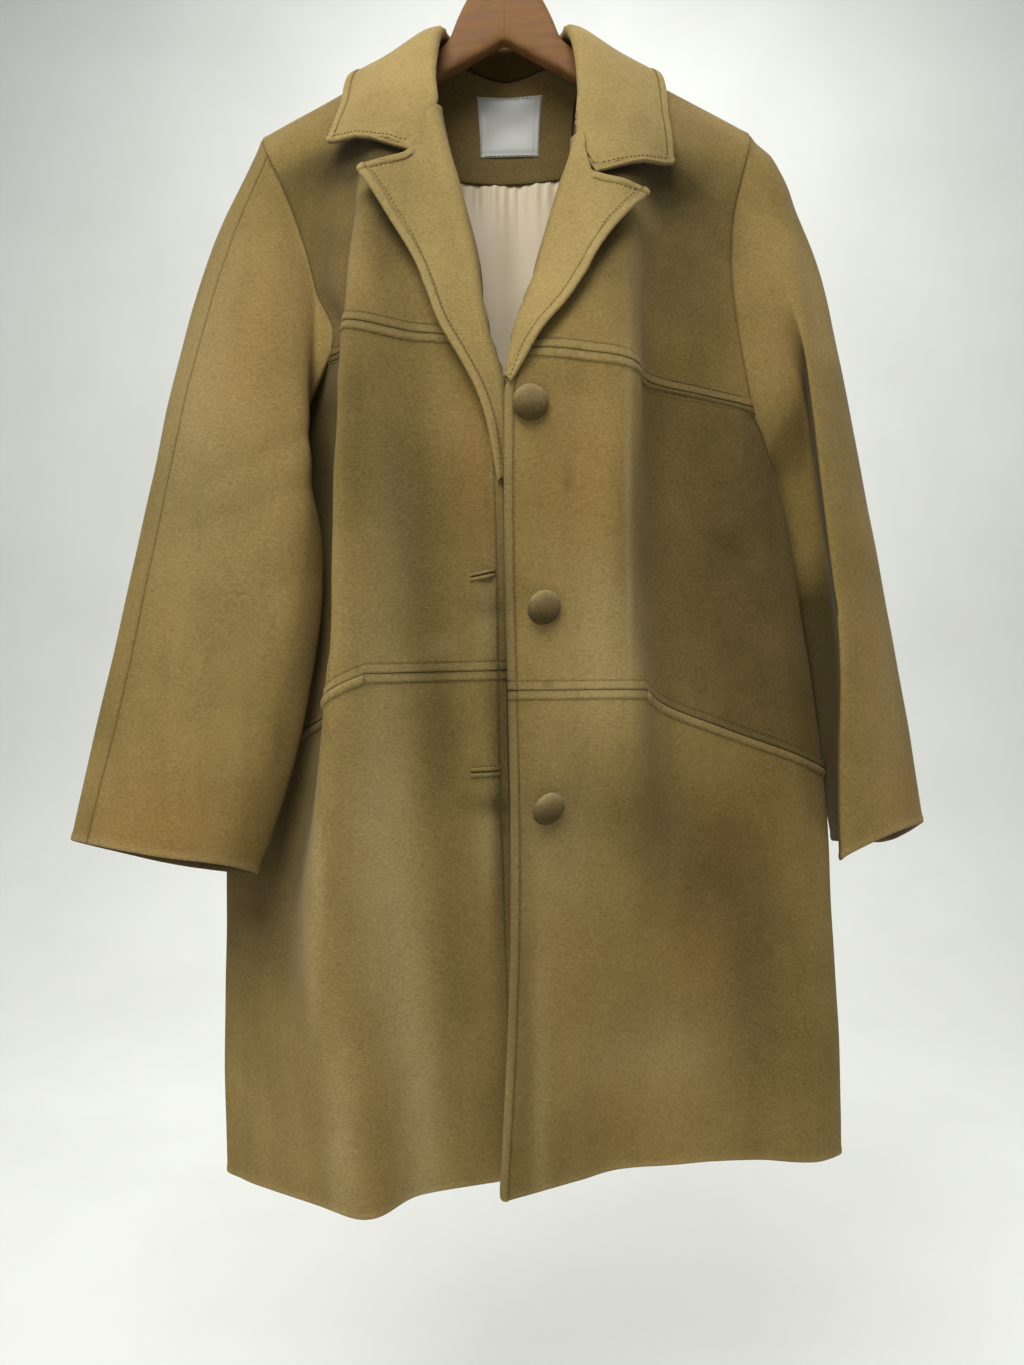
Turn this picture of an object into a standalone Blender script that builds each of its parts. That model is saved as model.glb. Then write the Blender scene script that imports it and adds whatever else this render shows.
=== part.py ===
"""Suede coat hanging on a wooden hanger, built as the pieces a maker would cut and sew.

Metres, +Z up, the coat's front faces -Y and +X is the wearer's left.
The origin is the inner top of the hook. Tables are in millimetres.
"""

import bpy
import bmesh
import numpy as np
from mathutils import Matrix, Vector

MM = 0.001

# Sizes of cloth and seams
WALL = 2.0 * MM
SLEEVE_WALL = 1.2 * MM
SLEEVE_SEAM_WALL = 1.0 * MM
LAPEL_WALL = 2.4 * MM
COLLAR_WALL = 2.2 * MM
LINING_WALL = 1.0 * MM
SEAM_GAP = 0.7 * MM
ARMHOLE_GAP = 0.7 * MM

# Rows of the coat from hem to shoulder seam, and how far each lies up the cloth
ROW_UP = {
    "hem": 0.0,
    "low": 0.095,
    "thigh": 0.195,
    "pocket": 0.295,
    "hip": 0.385,
    "waist": 0.455,
    "rib": 0.535,
    "underarm": 0.593,
    "yoke": 0.630,
    "chest": 0.690,
    "breast": 0.765,
    "gorge": 0.835,
    "over": 0.885,
    "shoulder": 0.915,
}
UNDERARM_ROW = list(ROW_UP).index("underarm")
BODY_ROWS = ("hem", "low", "thigh", "pocket", "hip", "waist", "rib", "underarm")

# Points across a front, from its front edge or roll line to the side seam or armhole
FRONT_ACROSS = {
    "edge": 0.0,
    "flat": 0.25,
    "crease": 0.5,
    "hollow": 0.58,
    "tuck": 0.74,
    "flank": 0.93,
    "side": 1.0,
}

# Fronts, millimetres: row, z at the edge, z at the side, then x and y of
# edge, flat, crease, hollow, tuck, flank and side
LEFT_FRONT = (
    ("hem", -1055, -1055, (-13, -66), (48, -33), (104, -6), (140, 0), (195, 1), (252, 2), (268, 16)),
    ("low", -960, -960, (-7, -75), (50, -52), (102, -28), (136, -18), (190, -10), (249, -6), (265, 8)),
    ("thigh", -860, -860, (-3, -85), (50, -68), (101, -50), (130, -34), (184, -20), (245, -10), (261, 4)),
    ("pocket", -760, -760, (-2, -93), (49, -83), (100, -71), (120, -51),
     (174, -31), (241, -13), (257, 1)),
    ("hip", -673, -673, (-3, -101), (48, -94), (97, -86), (111, -63), (166, -38), (232, -15), (248, -1)),
    ("waist", -600, -600, (-4, -107), (46, -101), (91, -92), (107, -65),
     (160, -42), (221, -18), (237, -4)),
    ("rib", -520, -520, (-4, -113), (46, -108), (93, -97), (105, -69),
     (156, -48), (208, -24), (223, -10)),
    ("underarm", -462, -462, (-3, -118), (47, -115), (96, -100), (104, -71),
     (152, -52), (191, -34), (203, -20)),
    ("yoke", -426, -446, (6, -118), (50, -122), (96, -101), (103, -73),
     (150, -51), (189, -35), (196, -31)),
    ("chest", -370, -365, (23, -104), (58, -109), (95, -96), (104, -75),
     (143, -53), (178, -36), (183, -33)),
    ("breast", -300, -300, (42, -86), (70, -88), (100, -79), (111, -65),
     (145, -48), (177, -34), (182, -31)),
    ("gorge", -235, -255, (58, -62), (82, -62), (108, -55), (119, -49),
     (152, -39), (186, -29), (192, -26)),
    ("over", -165, -222, (68, -27), (92, -26), (118, -24), (128, -23),
     (160, -21), (194, -19), (201, -18)),
)
RIGHT_FRONT = (
    ("hem", -1055, -1055, (6, -24), (-72, -52), (-120, -86), (-148, -68),
     (-185, -44), (-218, -20), (-232, -6)),
    ("low", -960, -960, (3, -46), (-75, -72), (-138, -90), (-163, -68),
     (-193, -42), (-221, -17), (-235, -3)),
    ("thigh", -860, -860, (0, -65), (-78, -88), (-150, -98), (-166, -66),
     (-193, -38), (-221, -14), (-235, 1)),
    ("pocket", -757, -757, (-2, -84), (-78, -103), (-141, -111), (-148, -78),
     (-180, -42), (-218, -14), (-233, 1)),
    ("hip", -658, -664, (-3, -94), (-75, -112), (-131, -121), (-130, -88),
     (-160, -48), (-209, -15), (-224, -1)),
    ("waist", -592, -596, (-3, -99), (-73, -116), (-127, -126), (-120, -94),
     (-146, -52), (-199, -17), (-214, -3)),
    ("rib", -516, -518, (-4, -104), (-72, -118), (-124, -131), (-116, -98),
     (-138, -54), (-186, -19), (-201, -5)),
    ("underarm", -458, -462, (-6, -109), (-70, -117), (-121, -132), (-116, -100),
     (-136, -60), (-163, -33), (-174, -20)),
    ("yoke", -416, -412, (-18, -112), (-66, -115), (-116, -131), (-117, -107),
     (-124, -88), (-132, -68), (-138, -61)),
    ("chest", -362, -355, (-26, -104), (-64, -110), (-113, -113), (-119, -97),
     (-133, -74), (-146, -54), (-151, -48)),
    ("breast", -290, -299, (-40, -88), (-70, -91), (-107, -92), (-117, -80),
     (-142, -55), (-162, -39), (-167, -35)),
    ("gorge", -212, -253, (-58, -62), (-80, -62), (-107, -58), (-119, -51),
     (-151, -39), (-179, -28), (-185, -25)),
    ("over", -162, -222, (-68, -27), (-92, -26), (-115, -24), (-127, -23),
     (-160, -21), (-191, -19), (-199, -18)),
)

# Shoulder seam: a straight line over the hanger from neck point to shoulder point
NECK_X = 72
NECK_Z = -132
SHOULDER_X = 204
SHOULDER_Z = -205

# Back below the armhole, millimetres: row, then y at the blade, nape and centre
BACK_BODY = (
    ("hem", 46, 36, 45),
    ("low", 45, 37, 44),
    ("thigh", 44, 38, 43),
    ("pocket", 43, 39, 42),
    ("hip", 42, 40, 41),
    ("waist", 41, 40, 40),
    ("rib", 40, 40, 39),
    ("underarm", 38, 40, 39),
)
BACK_ACROSS = (0.0, 0.035, 0.2, 0.34, 0.38, 0.5, 0.62, 0.66, 0.8, 0.965, 1.0)
BLADE_SHARE = 0.62
NAPE_SHARE = 0.33
NECK_SHARE = 0.26

# Back above the armhole, millimetres: row, then x, y, z of armhole, flank, blade, nape and neck,
# y and z of centre
BACK_UPPER = (
    ("yoke", (182, 12, -430), (173, 24, -427), (124, 37, -424), (66, 40, -422),
     (52, 40, -422), (39, -422)),
    ("chest", (178, 31, -365), (169, 34, -364), (122, 37, -362), (66, 39, -361),
     (52, 39, -361), (39, -361)),
    ("breast", (180, 31, -300), (171, 33, -297), (118, 36, -290), (68, 38, -286),
     (54, 38, -285), (39, -285)),
    ("gorge", (190, 24, -254), (181, 25, -250), (118, 30, -229), (74, 34, -217),
     (58, 36, -215), (38, -215)),
    ("over", (199, 14, -222), (190, 15, -217), (119, 19, -180), (78, 21, -160),
     (64, 25, -156), (38, -165)),
)
NAPE_X = 86
BACK_NECK_Y = 35
BACK_NECK_Z = -138

# Sleeve rings: place round the ring from the underarm by way of the front, and share of the ring's height
RING_AROUND = (0.0, 0.17, 0.35, 0.55, 0.80, 0.92)
RING_HEIGHT = (0.0, 0.3, 0.62, 1.0, 0.22, 0.05)
RING_BACK = 4
SHOULDER_AROUND = 0.55

# Sleeves, millimetres: place along, z outer, z inner, then x and y of inner, valley, front, outer,
# back and under
RIGHT_SLEEVE = (
    (0.20, -318, -482, (-174, -41), (-151, -74), (-184, -78), (-241, -28), (-220, 2), (-201, -24)),
    (0.38, -440, -524, (-156, -59), (-149, -84), (-192, -93), (-266, -50), (-210, -28), (-184, -40)),
    (0.50, -505, -560, (-144, -67), (-150, -88), (-200, -97), (-275, -58), (-216, -40), (-182, -52)),
    (0.68, -605, -640, (-147, -73), (-158, -91), (-213, -99), (-295, -64), (-234, -44), (-190, -57)),
    (0.84, -694, -722, (-163, -75), (-176, -92), (-230, -99), (-314, -66), (-250, -46), (-206, -60)),
    (1.00, -783, -808, (-192, -75), (-206, -92), (-256, -98), (-333, -68), (-272, -47), (-232, -61)),
)
LEFT_SLEEVE = (
    (0.20, -318, -480, (211, -11), (226, -39), (224, -57), (252, -16), (230, 24), (224, 6)),
    (0.38, -430, -514, (220, 6), (247, -8), (236, -61), (275, -17), (255, 32), (236, 17)),
    (0.50, -500, -552, (229, 11), (252, -6), (241, -63), (288, -13), (271, 40), (246, 26)),
    (0.68, -600, -636, (242, 14), (258, -22), (248, -67), (305, -14), (291, 45), (264, 32)),
    (0.84, -690, -712, (254, 20), (262, -28), (252, -72), (317, -20), (301, 44), (276, 36)),
    (1.00, -780, -798, (268, 14), (264, -40), (254, -80), (325, -28), (308, 36), (288, 28)),
)
CUFF_BACK_DROP = 9 * MM

# Hip seam: level to a corner, then slanted down to the side seam
HIP_SLANT_DROP = 0.068
HIP_CORNER = {"left": 0.52, "right": 0.38}
WELT_LOW = -7.0 * MM
WELT_HIGH = 1.0 * MM
WELT_WALL = 1.6 * MM

# Lapels: share across and height up the front of the outer edge, from the tip down to the break,
# with the height of the roll line beside it and the lift of the edge off the front
LAPEL_EDGE = {
    "left": (
        (0.49, 0.758, 0.828, 15),
        (0.38, 0.724, 0.776, 12),
        (0.27, 0.692, 0.732, 10),
        (0.19, 0.662, 0.692, 9),
        (0.10, 0.637, 0.652, 8),
        (0.02, 0.602, 0.606, 5),
    ),
    "right": (
        (0.48, 0.765, 0.828, 16),
        (0.36, 0.711, 0.772, 13),
        (0.25, 0.668, 0.722, 11),
        (0.18, 0.637, 0.676, 10),
        (0.10, 0.610, 0.632, 9),
        (0.05, 0.577, 0.586, 7),
        (0.02, 0.530, 0.534, 5),
    ),
}
NOTCH_ACROSS = {"left": 0.36, "right": 0.46}
NOTCH_SAG = {"left": 0.021, "right": 0.013}
LAPEL_BASE_LIFT = 0.9 * MM + LAPEL_WALL
ROLL_REACH = 1.6 * MM + LAPEL_WALL
COLLAR_REACH = 1.8 * MM
COLLAR_SINK = 1.8 * MM
FACING_ACROSS = 0.09

# Collar: place along from the right end to the left end, then x, y, z of roll, fall and edge in millimetres
COLLAR_STATIONS = (
    (0.14, (-55, -48, -178), (-94, -58, -199), (-132, -46, -208)),
    (0.30, (-50, -9, -120), (-89, -9, -136), (-124, -5, -155)),
    (0.42, (-37, 22, -106), (-68, 31, -124), (-92, 35, -160)),
    (0.50, (0, 35, -102), (0, 49, -122), (0, 53, -170)),
    (0.58, (37, 22, -106), (68, 31, -124), (92, 35, -160)),
    (0.70, (50, -9, -120), (89, -9, -136), (125, -5, -156)),
    (0.86, (57, -47, -188), (95, -55, -211), (130, -40, -219)),
)
COLLAR_ACROSS = (0.0, 0.24, 0.3, 0.36, 0.62, 1.0)
COLLAR_COLUMNS = (0.0, 0.24, 0.3, 0.36, 0.43, 0.5, 0.66, 0.83, 1.0)
COLLAR_ROLL_RADIUS = 4.5 * MM
COLLAR_COLUMNS_FADE = 0.16
COLLAR_TIP = {"left": (0.63, 0.806, 15), "right": (0.66, 0.820, 17)}
COLLAR_END_UP = 0.006
STAND_RISE = 2.6 * MM

# Inside of the back neck
NECK_FACING_STEPS = 5
NECK_FACING_FIRST = 9
LINING_FIRST = 3
LABEL_WIDE = 50 * MM
LABEL_TALL = 53 * MM
LABEL_CENTRE_X = 3 * MM
LABEL_TOP_Z = -151 * MM
LABEL_WALL = 0.6 * MM

# Buttons on the left front and buttonholes on the right front
BUTTON_RADIUS = 13 * MM
BUTTON_SEAT = 0.6 * MM
BUTTONS = (("button_top", 0.092, 0.588), ("button_middle", 0.131, 0.443), ("button_bottom", 0.128, 0.297))
BUTTONHOLES = (("buttonhole_middle", 0.030, 0.092, 0.461), ("buttonhole_bottom", 0.020, 0.092, 0.318))
BUTTONHOLE_HALF = 4.5 * MM
BUTTONHOLE_WALL = 1.0 * MM

# Hanger, millimetres: x, top z, bottom z and half thickness, centre to arm end
HANGER_HALF = (
    (0, -62, -125, 8),
    (12, -65, -131, 8),
    (24, -76, -138, 8),
    (33, -91, -143, 8),
    (40, -106, -147, 8),
    (46, -121, -150, 7.5),
    (54, -129, -155, 7),
)
HANGER_ARM_X = (72, 100, 130, 160, 186, 194)
HANGER_ARM_TALL = (29, 28, 27, 25, 22, 14)
HANGER_ARM_HALF = (5.5, 5.5, 5.5, 5.5, 5, 3.5)
HANGER_CLEAR = 3.5
HANGER_ARM_FROM = 60
WIRE_RADIUS = 1.8 * MM
HOOK_RADIUS = 20 * MM
HOOK_FOOT_Z = -61.5 * MM

TAN = (0.40, 0.29, 0.13, 1.0)
OLIVE = (0.19, 0.14, 0.07, 1.0)
CREAM = (0.82, 0.76, 0.64, 1.0)
SILVER = (0.62, 0.62, 0.60, 1.0)
WOOD = (0.45, 0.20, 0.08, 1.0)
STEEL = (0.60, 0.60, 0.62, 1.0)


def smooth(knots, points, at, pinned=None):
    """Cubic through points at their knots; points may hold one curve or one curve for each place in at.

    At the pinned knot the slope comes from the stretch before it.
    """
    knots = np.asarray(knots, float)
    at = np.asarray(at, float)
    slopes = np.gradient(points, knots, axis=0)
    if pinned is not None:
        slopes[pinned] = (points[pinned] - points[pinned - 1]) / (knots[pinned] - knots[pinned - 1])
    left = np.clip(np.searchsorted(knots, at, side="right") - 1, 0, len(knots) - 2)
    width = (knots[left + 1] - knots[left])[:, None]
    s = (at - knots[left])[:, None] / width
    if points.ndim == 3:
        n = np.arange(len(at))
        start, end = points[left, n], points[left + 1, n]
        go, stop = slopes[left, n] * width, slopes[left + 1, n] * width
    else:
        start, end = points[left], points[left + 1]
        go, stop = slopes[left] * width, slopes[left + 1] * width
    rise = end - start
    return start + s * go + s**2 * (3 * rise - 2 * go - stop) + s**3 * (go + stop - 2 * rise)


def unit(vectors):
    return vectors / np.linalg.norm(vectors, axis=-1, keepdims=True)


def shoulder_z(x):
    return NECK_Z + (SHOULDER_Z - NECK_Z) * (abs(x) - NECK_X) / (SHOULDER_X - NECK_X)


class Skin:
    """A smooth sheet through rows of points: u runs across each row and v up the rows."""

    pinned = None

    def __init__(self, rows, u_knots, v_knots, facing, pinned=None):
        self.rows = rows
        self.u_knots = u_knots
        self.v_knots = v_knots
        self.facing = facing
        self.pinned = pinned

    def rows_at(self, u):
        return np.stack([smooth(self.u_knots, row, u) for row in self.rows])

    def __call__(self, u, v):
        u, v = np.broadcast_arrays(np.asarray(u, float), np.asarray(v, float))
        flat = smooth(self.v_knots, self.rows_at(u.ravel()), v.ravel(), self.pinned)
        return flat.reshape(u.shape + (3,))

    def across(self, u, v, step=0.002):
        return self(np.add(u, step), v) - self(np.subtract(u, step), v)

    def along(self, u, v, step=0.002):
        return self(u, np.add(v, step)) - self(u, np.subtract(v, step))

    def normal(self, u, v):
        return self.facing * unit(np.cross(self.across(u, v), self.along(u, v)))

    def lifted(self, u, v, lift):
        return self(u, v) + self.normal(u, v) * np.asarray(lift, float)[..., None]


def front_skin(table, side):
    """One front from hem to shoulder seam; a row and a column beyond its seams set its slopes there."""
    sign = 1 if side == "left" else -1
    rows = []
    for name, edge_z, side_z, *points in table:
        xy = np.array(points, float)
        share = (xy[:, 0] - xy[0, 0]) / (xy[-1, 0] - xy[0, 0])
        row = np.column_stack([xy, edge_z + (side_z - edge_z) * np.clip(share, 0, 1)])
        beyond = 2 * row[-1] - row[-2]
        if name in BODY_ROWS:
            beyond[0] = row[-2, 0]
        rows.append(np.vstack([row, beyond]))
    shares = np.append(np.array(list(FRONT_ACROSS.values())), 1.07)
    x = NECK_X + (SHOULDER_X - NECK_X) * shares
    rows.append(np.column_stack([sign * x, 0 * x, [shoulder_z(place) for place in x]]))
    past = rows[-2].copy()
    past[:, 1] *= -1
    rows.append(past)
    heights = list(ROW_UP.values()) + [2 * ROW_UP["shoulder"] - ROW_UP["over"]]
    return Skin(np.array(rows) * MM, shares, heights, sign, UNDERARM_ROW)


def back_skin(left, right):
    """The back from side seam to side seam, on the fronts' side seams."""
    rows = []
    for name, blade_y, nape_y, centre_y in BACK_BODY:
        seams = [skin(1.0, ROW_UP[name]) / MM for skin in (right, left)]
        flanks = [skin(FRONT_ACROSS["flank"], ROW_UP[name]) / MM for skin in (right, left)]
        half = []
        for seam, flank in zip(seams, flanks):
            x, y, z = seam
            flank_y = 2 * y - flank[1]
            beyond = (flank[0], flank[1], z)
            points = [beyond, (x, y, z), (flank[0], flank_y, z)]
            for part, depth in ((BLADE_SHARE, blade_y), (NAPE_SHARE, nape_y), (NECK_SHARE, nape_y)):
                points.append((x * part, depth, z))
            half.append(points)
        middle = (seams[0] + seams[1]) / 2
        rows.append(half[0] + [(0.1 * middle[0], centre_y, middle[2])] + half[1][::-1])
    for name, arm, flank, blade, nape, neck, centre in BACK_UPPER:
        half = [tuple(2 * np.array(arm) - np.array(flank)), arm, flank, blade, nape, neck]
        mirrored = [(-x, y, z) for x, y, z in half]
        rows.append(mirrored + [(0, *centre)] + half[::-1])
    half = [(place, 0, shoulder_z(place)) for place in (213, SHOULDER_X, 195, 130, NAPE_X, NECK_X)]
    mirrored = [(-x, y, z) for x, y, z in half]
    rows.append(mirrored + [(0, BACK_NECK_Y, BACK_NECK_Z)] + half[::-1])
    rows = [np.array(row, float) for row in rows]
    past = rows[-2] * (1, -1, 1)
    past[6] = 2 * rows[-1][6] - rows[-2][6]
    rows.append(past)
    shares = np.concatenate([[-BACK_ACROSS[1]], BACK_ACROSS, [1 + BACK_ACROSS[1]]])
    heights = list(ROW_UP.values()) + [2 * ROW_UP["shoulder"] - ROW_UP["over"]]
    return Skin(np.array(rows) * MM, shares, heights, -1, UNDERARM_ROW)


class Sleeve(Skin):
    """A sleeve from armhole to cuff: u runs round it from the underarm by way of the front, v along it."""

    def __init__(self, table, front, back, back_side, facing):
        self.front = front
        self.back = back
        self.back_side = back_side
        self.facing = facing
        self.v_knots = [0.0] + [row[0] for row in table]
        self.rings = []
        for place, outer_z, inner_z, *points in table:
            xy = np.array(points, float)
            z = inner_z + (outer_z - inner_z) * np.array(RING_HEIGHT)
            ring = np.column_stack([xy, z]) * MM
            ring[RING_BACK, 2] -= CUFF_BACK_DROP * place**3
            self.rings.append(ring)

    def armhole(self, u):
        """Place on the fronts and back for a place round the sleeve: which skin, its u and its v."""
        u = np.mod(u, 1.0)
        low, high = ROW_UP["underarm"], ROW_UP["shoulder"]
        on_front = u <= SHOULDER_AROUND
        rise = np.where(on_front, u / SHOULDER_AROUND, (1 - u) / (1 - SHOULDER_AROUND))
        return on_front, low + (high - low) * rise

    def armhole_points(self, u):
        on_front, v = self.armhole(u)
        return np.where(on_front[:, None], self.front(1.0, v), self.back(self.back_side, v))

    def armhole_normals(self, u):
        on_front, v = self.armhole(u)
        v = np.minimum(v, ROW_UP["shoulder"] - 0.0005)
        return np.where(on_front[:, None], self.front.normal(1.0, v), self.back.normal(self.back_side, v))

    def armhole_outward(self, u):
        """Direction in which the body's cloth runs out through the armhole."""
        on_front, v = self.armhole(u)
        sign = 1 if self.back_side == 1.0 else -1
        behind = sign * self.back.across(self.back_side, v)
        out = np.where(on_front[:, None], self.front.across(1.0, v), behind)
        return unit(out)

    def rows_at(self, u):
        rows = [self.armhole_points(u)]
        for ring in self.rings:
            chords = np.linalg.norm(np.roll(ring, -1, axis=0) - ring, axis=1)
            length = np.concatenate([[0.0], np.cumsum(chords)])
            at = np.interp(np.mod(u, 1.0), [*RING_AROUND, 1.0], length)
            knots = np.concatenate([length[:-1] - length[-1], length[:-1], length[:-1] + length[-1]])
            rows.append(smooth(knots, np.concatenate([ring, ring, ring]), at))
        return np.stack(rows)


def make_material(name, colour, roughness, metallic=0.0):
    material = bpy.data.materials.new(name)
    material.use_nodes = True
    shader = material.node_tree.nodes["Principled BSDF"]
    shader.inputs["Base Color"].default_value = colour
    shader.inputs["Roughness"].default_value = roughness
    shader.inputs["Metallic"].default_value = metallic
    material.diffuse_color = colour
    return material


def add_object(name, mesh, colour, roughness=0.9, metallic=0.0):
    thing = bpy.data.objects.new(name, mesh)
    coat.objects.link(thing)
    mesh.materials.append(make_material(name, colour, roughness, metallic))
    return thing


def grid_faces(rows, columns, first, flip):
    """Two triangles a cell over a grid of points numbered from first."""
    faces = []
    for j in range(rows - 1):
        for i in range(columns - 1):
            a = first + j * columns + i
            b, c, d = a + 1, a + columns + 1, a + columns
            cell = [(a, b, c), (a, c, d)]
            faces.extend([face[::-1] for face in cell] if flip else cell)
    return faces


def add_shell(name, outer, inner, colour):
    """A closed wall between two grids of points, with its rim."""
    rows, columns = outer.shape[:2]
    count = rows * columns
    faces = grid_faces(rows, columns, 0, False) + grid_faces(rows, columns, count, True)
    rim = [i for i in range(columns)]
    rim += [j * columns + columns - 1 for j in range(1, rows)]
    rim += [(rows - 1) * columns + i for i in range(columns - 2, -1, -1)]
    rim += [j * columns for j in range(rows - 2, 0, -1)]
    for here, there in zip(rim, rim[1:] + rim[:1]):
        low, high = min(here, there), max(here, there)
        faces.append((low, low + count, high + count))
        faces.append((low, high + count, high))
    mesh = bpy.data.meshes.new(name)
    mesh.from_pydata(np.concatenate([outer.reshape(-1, 3), inner.reshape(-1, 3)]).tolist(), [], faces)
    tidy = bmesh.new()
    tidy.from_mesh(mesh)
    bmesh.ops.recalc_face_normals(tidy, faces=tidy.faces)
    tidy.to_mesh(mesh)
    tidy.free()
    return add_object(name, mesh, colour)


def grid_normals(points):
    return unit(np.cross(np.gradient(points, axis=1), np.gradient(points, axis=0)))


def add_patch(name, skin, u, v, colour, lift=0.0, wall=WALL):
    """A wall on a skin; lift is how far its outer face lies above the skin, and the wall goes inward."""
    normals = skin.normal(u, v)
    outer = skin(u, v) + normals * lift
    return add_shell(name, outer, outer - normals * wall, colour)


def spaced(low, high, stops, counts):
    """Places from low to high through the stops, with so many steps in each stretch."""
    ends = [low, *stops, high]
    places = [np.linspace(a, b, n + 1)[:-1] for a, b, n in zip(ends, ends[1:], counts)]
    return np.append(np.concatenate(places), high)


def hip_seam(u, side):
    corner = HIP_CORNER[side]
    return ROW_UP["hip"] - HIP_SLANT_DROP * np.clip((u - corner) / (1 - corner), 0, None)


# Samples across the fronts, close together at the crease
FRONT_U = np.array([0.0, 0.05, 0.14, 0.25, 0.36, 0.44, 0.5, 0.54, 0.58, 0.66, 0.76, 0.86, 0.94, 1.0])
LOWER_STEPS = 9
MID_STEPS = (7, 2)
YOKE_STOPS = (0.8295, 0.878)
YOKE_STEPS = (6, 2, 3)
HALF_GAP = SEAM_GAP / 2

# Samples across the back, close together at the sides and round the neck
BACK_HALF_U = np.array([0.0, 0.02, 0.05, 0.1, 0.16, 0.23, 0.3, 0.34, 0.38, 0.41, 0.44, 0.47, 0.5])
BACK_U = np.concatenate([BACK_HALF_U, 1 - BACK_HALF_U[-2::-1]])
SIDE_GAP_SHARE = 0.0015


def side_heights():
    """Heights at which both fronts and the back have points on the side seams and armholes."""
    hip = ROW_UP["hip"] - HIP_SLANT_DROP
    lower = np.linspace(0, hip, LOWER_STEPS + 1)
    mid = spaced(hip, ROW_UP["yoke"], [ROW_UP["underarm"]], MID_STEPS)
    yoke = spaced(ROW_UP["yoke"], ROW_UP["shoulder"], YOKE_STOPS, YOKE_STEPS)
    return np.concatenate([lower, mid[1:], yoke[1:]])


def build_front(skin, side):
    u = FRONT_U[None, :]
    hip = hip_seam(u, side)
    hem = np.zeros_like(u)
    yoke = np.full_like(u, ROW_UP["yoke"])
    top = np.full_like(u, ROW_UP["shoulder"] - HALF_GAP)
    under = (ROW_UP["underarm"] - hip[0, -1]) / (ROW_UP["yoke"] - hip[0, -1])
    yoke_stops = (np.array(YOKE_STOPS) - ROW_UP["yoke"]) / (ROW_UP["shoulder"] - ROW_UP["yoke"])
    panels = (
        ("lower", hem, hip - HALF_GAP, np.linspace(0, 1, LOWER_STEPS + 1)),
        ("mid", hip + HALF_GAP, yoke - HALF_GAP, spaced(0, 1, [under], MID_STEPS)),
        ("yoke", yoke + HALF_GAP, top, spaced(0, 1, yoke_stops, YOKE_STEPS)),
    )
    for name, low, high, steps in panels:
        v = low + (high - low) * steps[:, None]
        add_patch(f"front_{name}_{side}", skin, np.broadcast_to(u, v.shape), v, TAN)
    corner = HIP_CORNER[side] + 0.005
    welt_u = np.concatenate([[corner], FRONT_U[FRONT_U > corner + 0.01][:-1], [0.985]])[None, :]
    welt_v = hip_seam(welt_u, side) + np.linspace(WELT_LOW, WELT_HIGH, 3)[:, None]
    spread = np.broadcast_to(welt_u, welt_v.shape)
    add_patch(f"pocket_welt_{side}", skin, spread, welt_v, TAN, 0.5 * MM + WELT_WALL, WELT_WALL)


def build_back(skin):
    v = side_heights()
    v[-1] -= HALF_GAP
    u = BACK_U.copy()
    u[0], u[-1] = SIDE_GAP_SHARE, 1 - SIDE_GAP_SHARE
    add_patch("back", skin, *np.broadcast_arrays(u[None, :], v[:, None]), TAN)


def lapel_places(side, t, w):
    """Share across, height and lift of the lapel for t down from the gorge and w out from the roll line."""
    table = np.array(LAPEL_EDGE[side])
    knots = np.linspace(0, 1, len(table))
    edge_u, edge_v, roll_v, lift = (np.interp(t, knots, table[:, k]) for k in range(4))
    deep = np.interp(w, [0, NOTCH_ACROSS[side], 1], [0, 1, 0])
    sag = NOTCH_SAG[side] * deep * np.clip(1 - 4 * t, 0, 1)
    u = edge_u * w
    v = roll_v + (edge_v - roll_v) * w - sag
    return u, v, LAPEL_BASE_LIFT + (lift * MM - LAPEL_BASE_LIFT) * np.clip(w, 0, 1) ** 1.2


def build_lapel(skin, side):
    t = np.linspace(0, 1, 11)[:, None]
    notch = NOTCH_ACROSS[side]
    w = np.concatenate([[0.03, notch / 2], np.linspace(notch, 1, 4)])[None, :]
    u, v, lift = lapel_places(side, *np.broadcast_arrays(t, w))
    turned = skin.lifted(u, v, lift)
    roll_v = lapel_places(side, t, 0 * t)[1]
    out = -unit(skin.across(0 * roll_v + 0.01, roll_v))
    apex = skin(0 * roll_v, roll_v) + out * ROLL_REACH
    inside_u = np.broadcast_to(np.array([FACING_ACROSS, 0.012]), (len(t), 2))
    depth = np.full(inside_u.shape, -(WALL + 0.9 * MM + LAPEL_WALL))
    inside = skin.lifted(inside_u, np.broadcast_to(roll_v, inside_u.shape), depth)
    outer = np.concatenate([inside, apex, turned], axis=1)
    facing = -1 if side == "left" else 1
    add_shell(f"lapel_{side}", outer, outer + facing * grid_normals(outer) * LAPEL_WALL, TAN)


def collar_end(skin, side):
    """Points of the collar's end, just above the lapel's top edge and out to the collar's tip."""
    gorge = np.array([0.0, 0.03, NOTCH_ACROSS[side] / 2, NOTCH_ACROSS[side]])
    u, v, lift = lapel_places(side, np.zeros(4), gorge)
    v = v + COLLAR_END_UP
    out = -unit(skin.across(0.01, v[0]))
    seam = skin(0.0, v[0]) + out * STAND_RISE
    roll = skin(0.0, v[0]) + out * COLLAR_REACH
    tip_u, tip_v, tip_lift = COLLAR_TIP[side]
    share = (np.array(COLLAR_COLUMNS[6:]) - COLLAR_COLUMNS[5]) / (1 - COLLAR_COLUMNS[5])
    u = np.append(u[1:], u[3] + (tip_u - u[3]) * share)
    v = np.append(v[1:], v[3] + (tip_v - v[3]) * share)
    lift = np.append(lift[1:], lift[3] + (tip_lift * MM - lift[3]) * share)
    return np.vstack([seam, (seam + roll) / 2, roll, skin.lifted(u, v, lift - COLLAR_SINK)])


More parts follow.
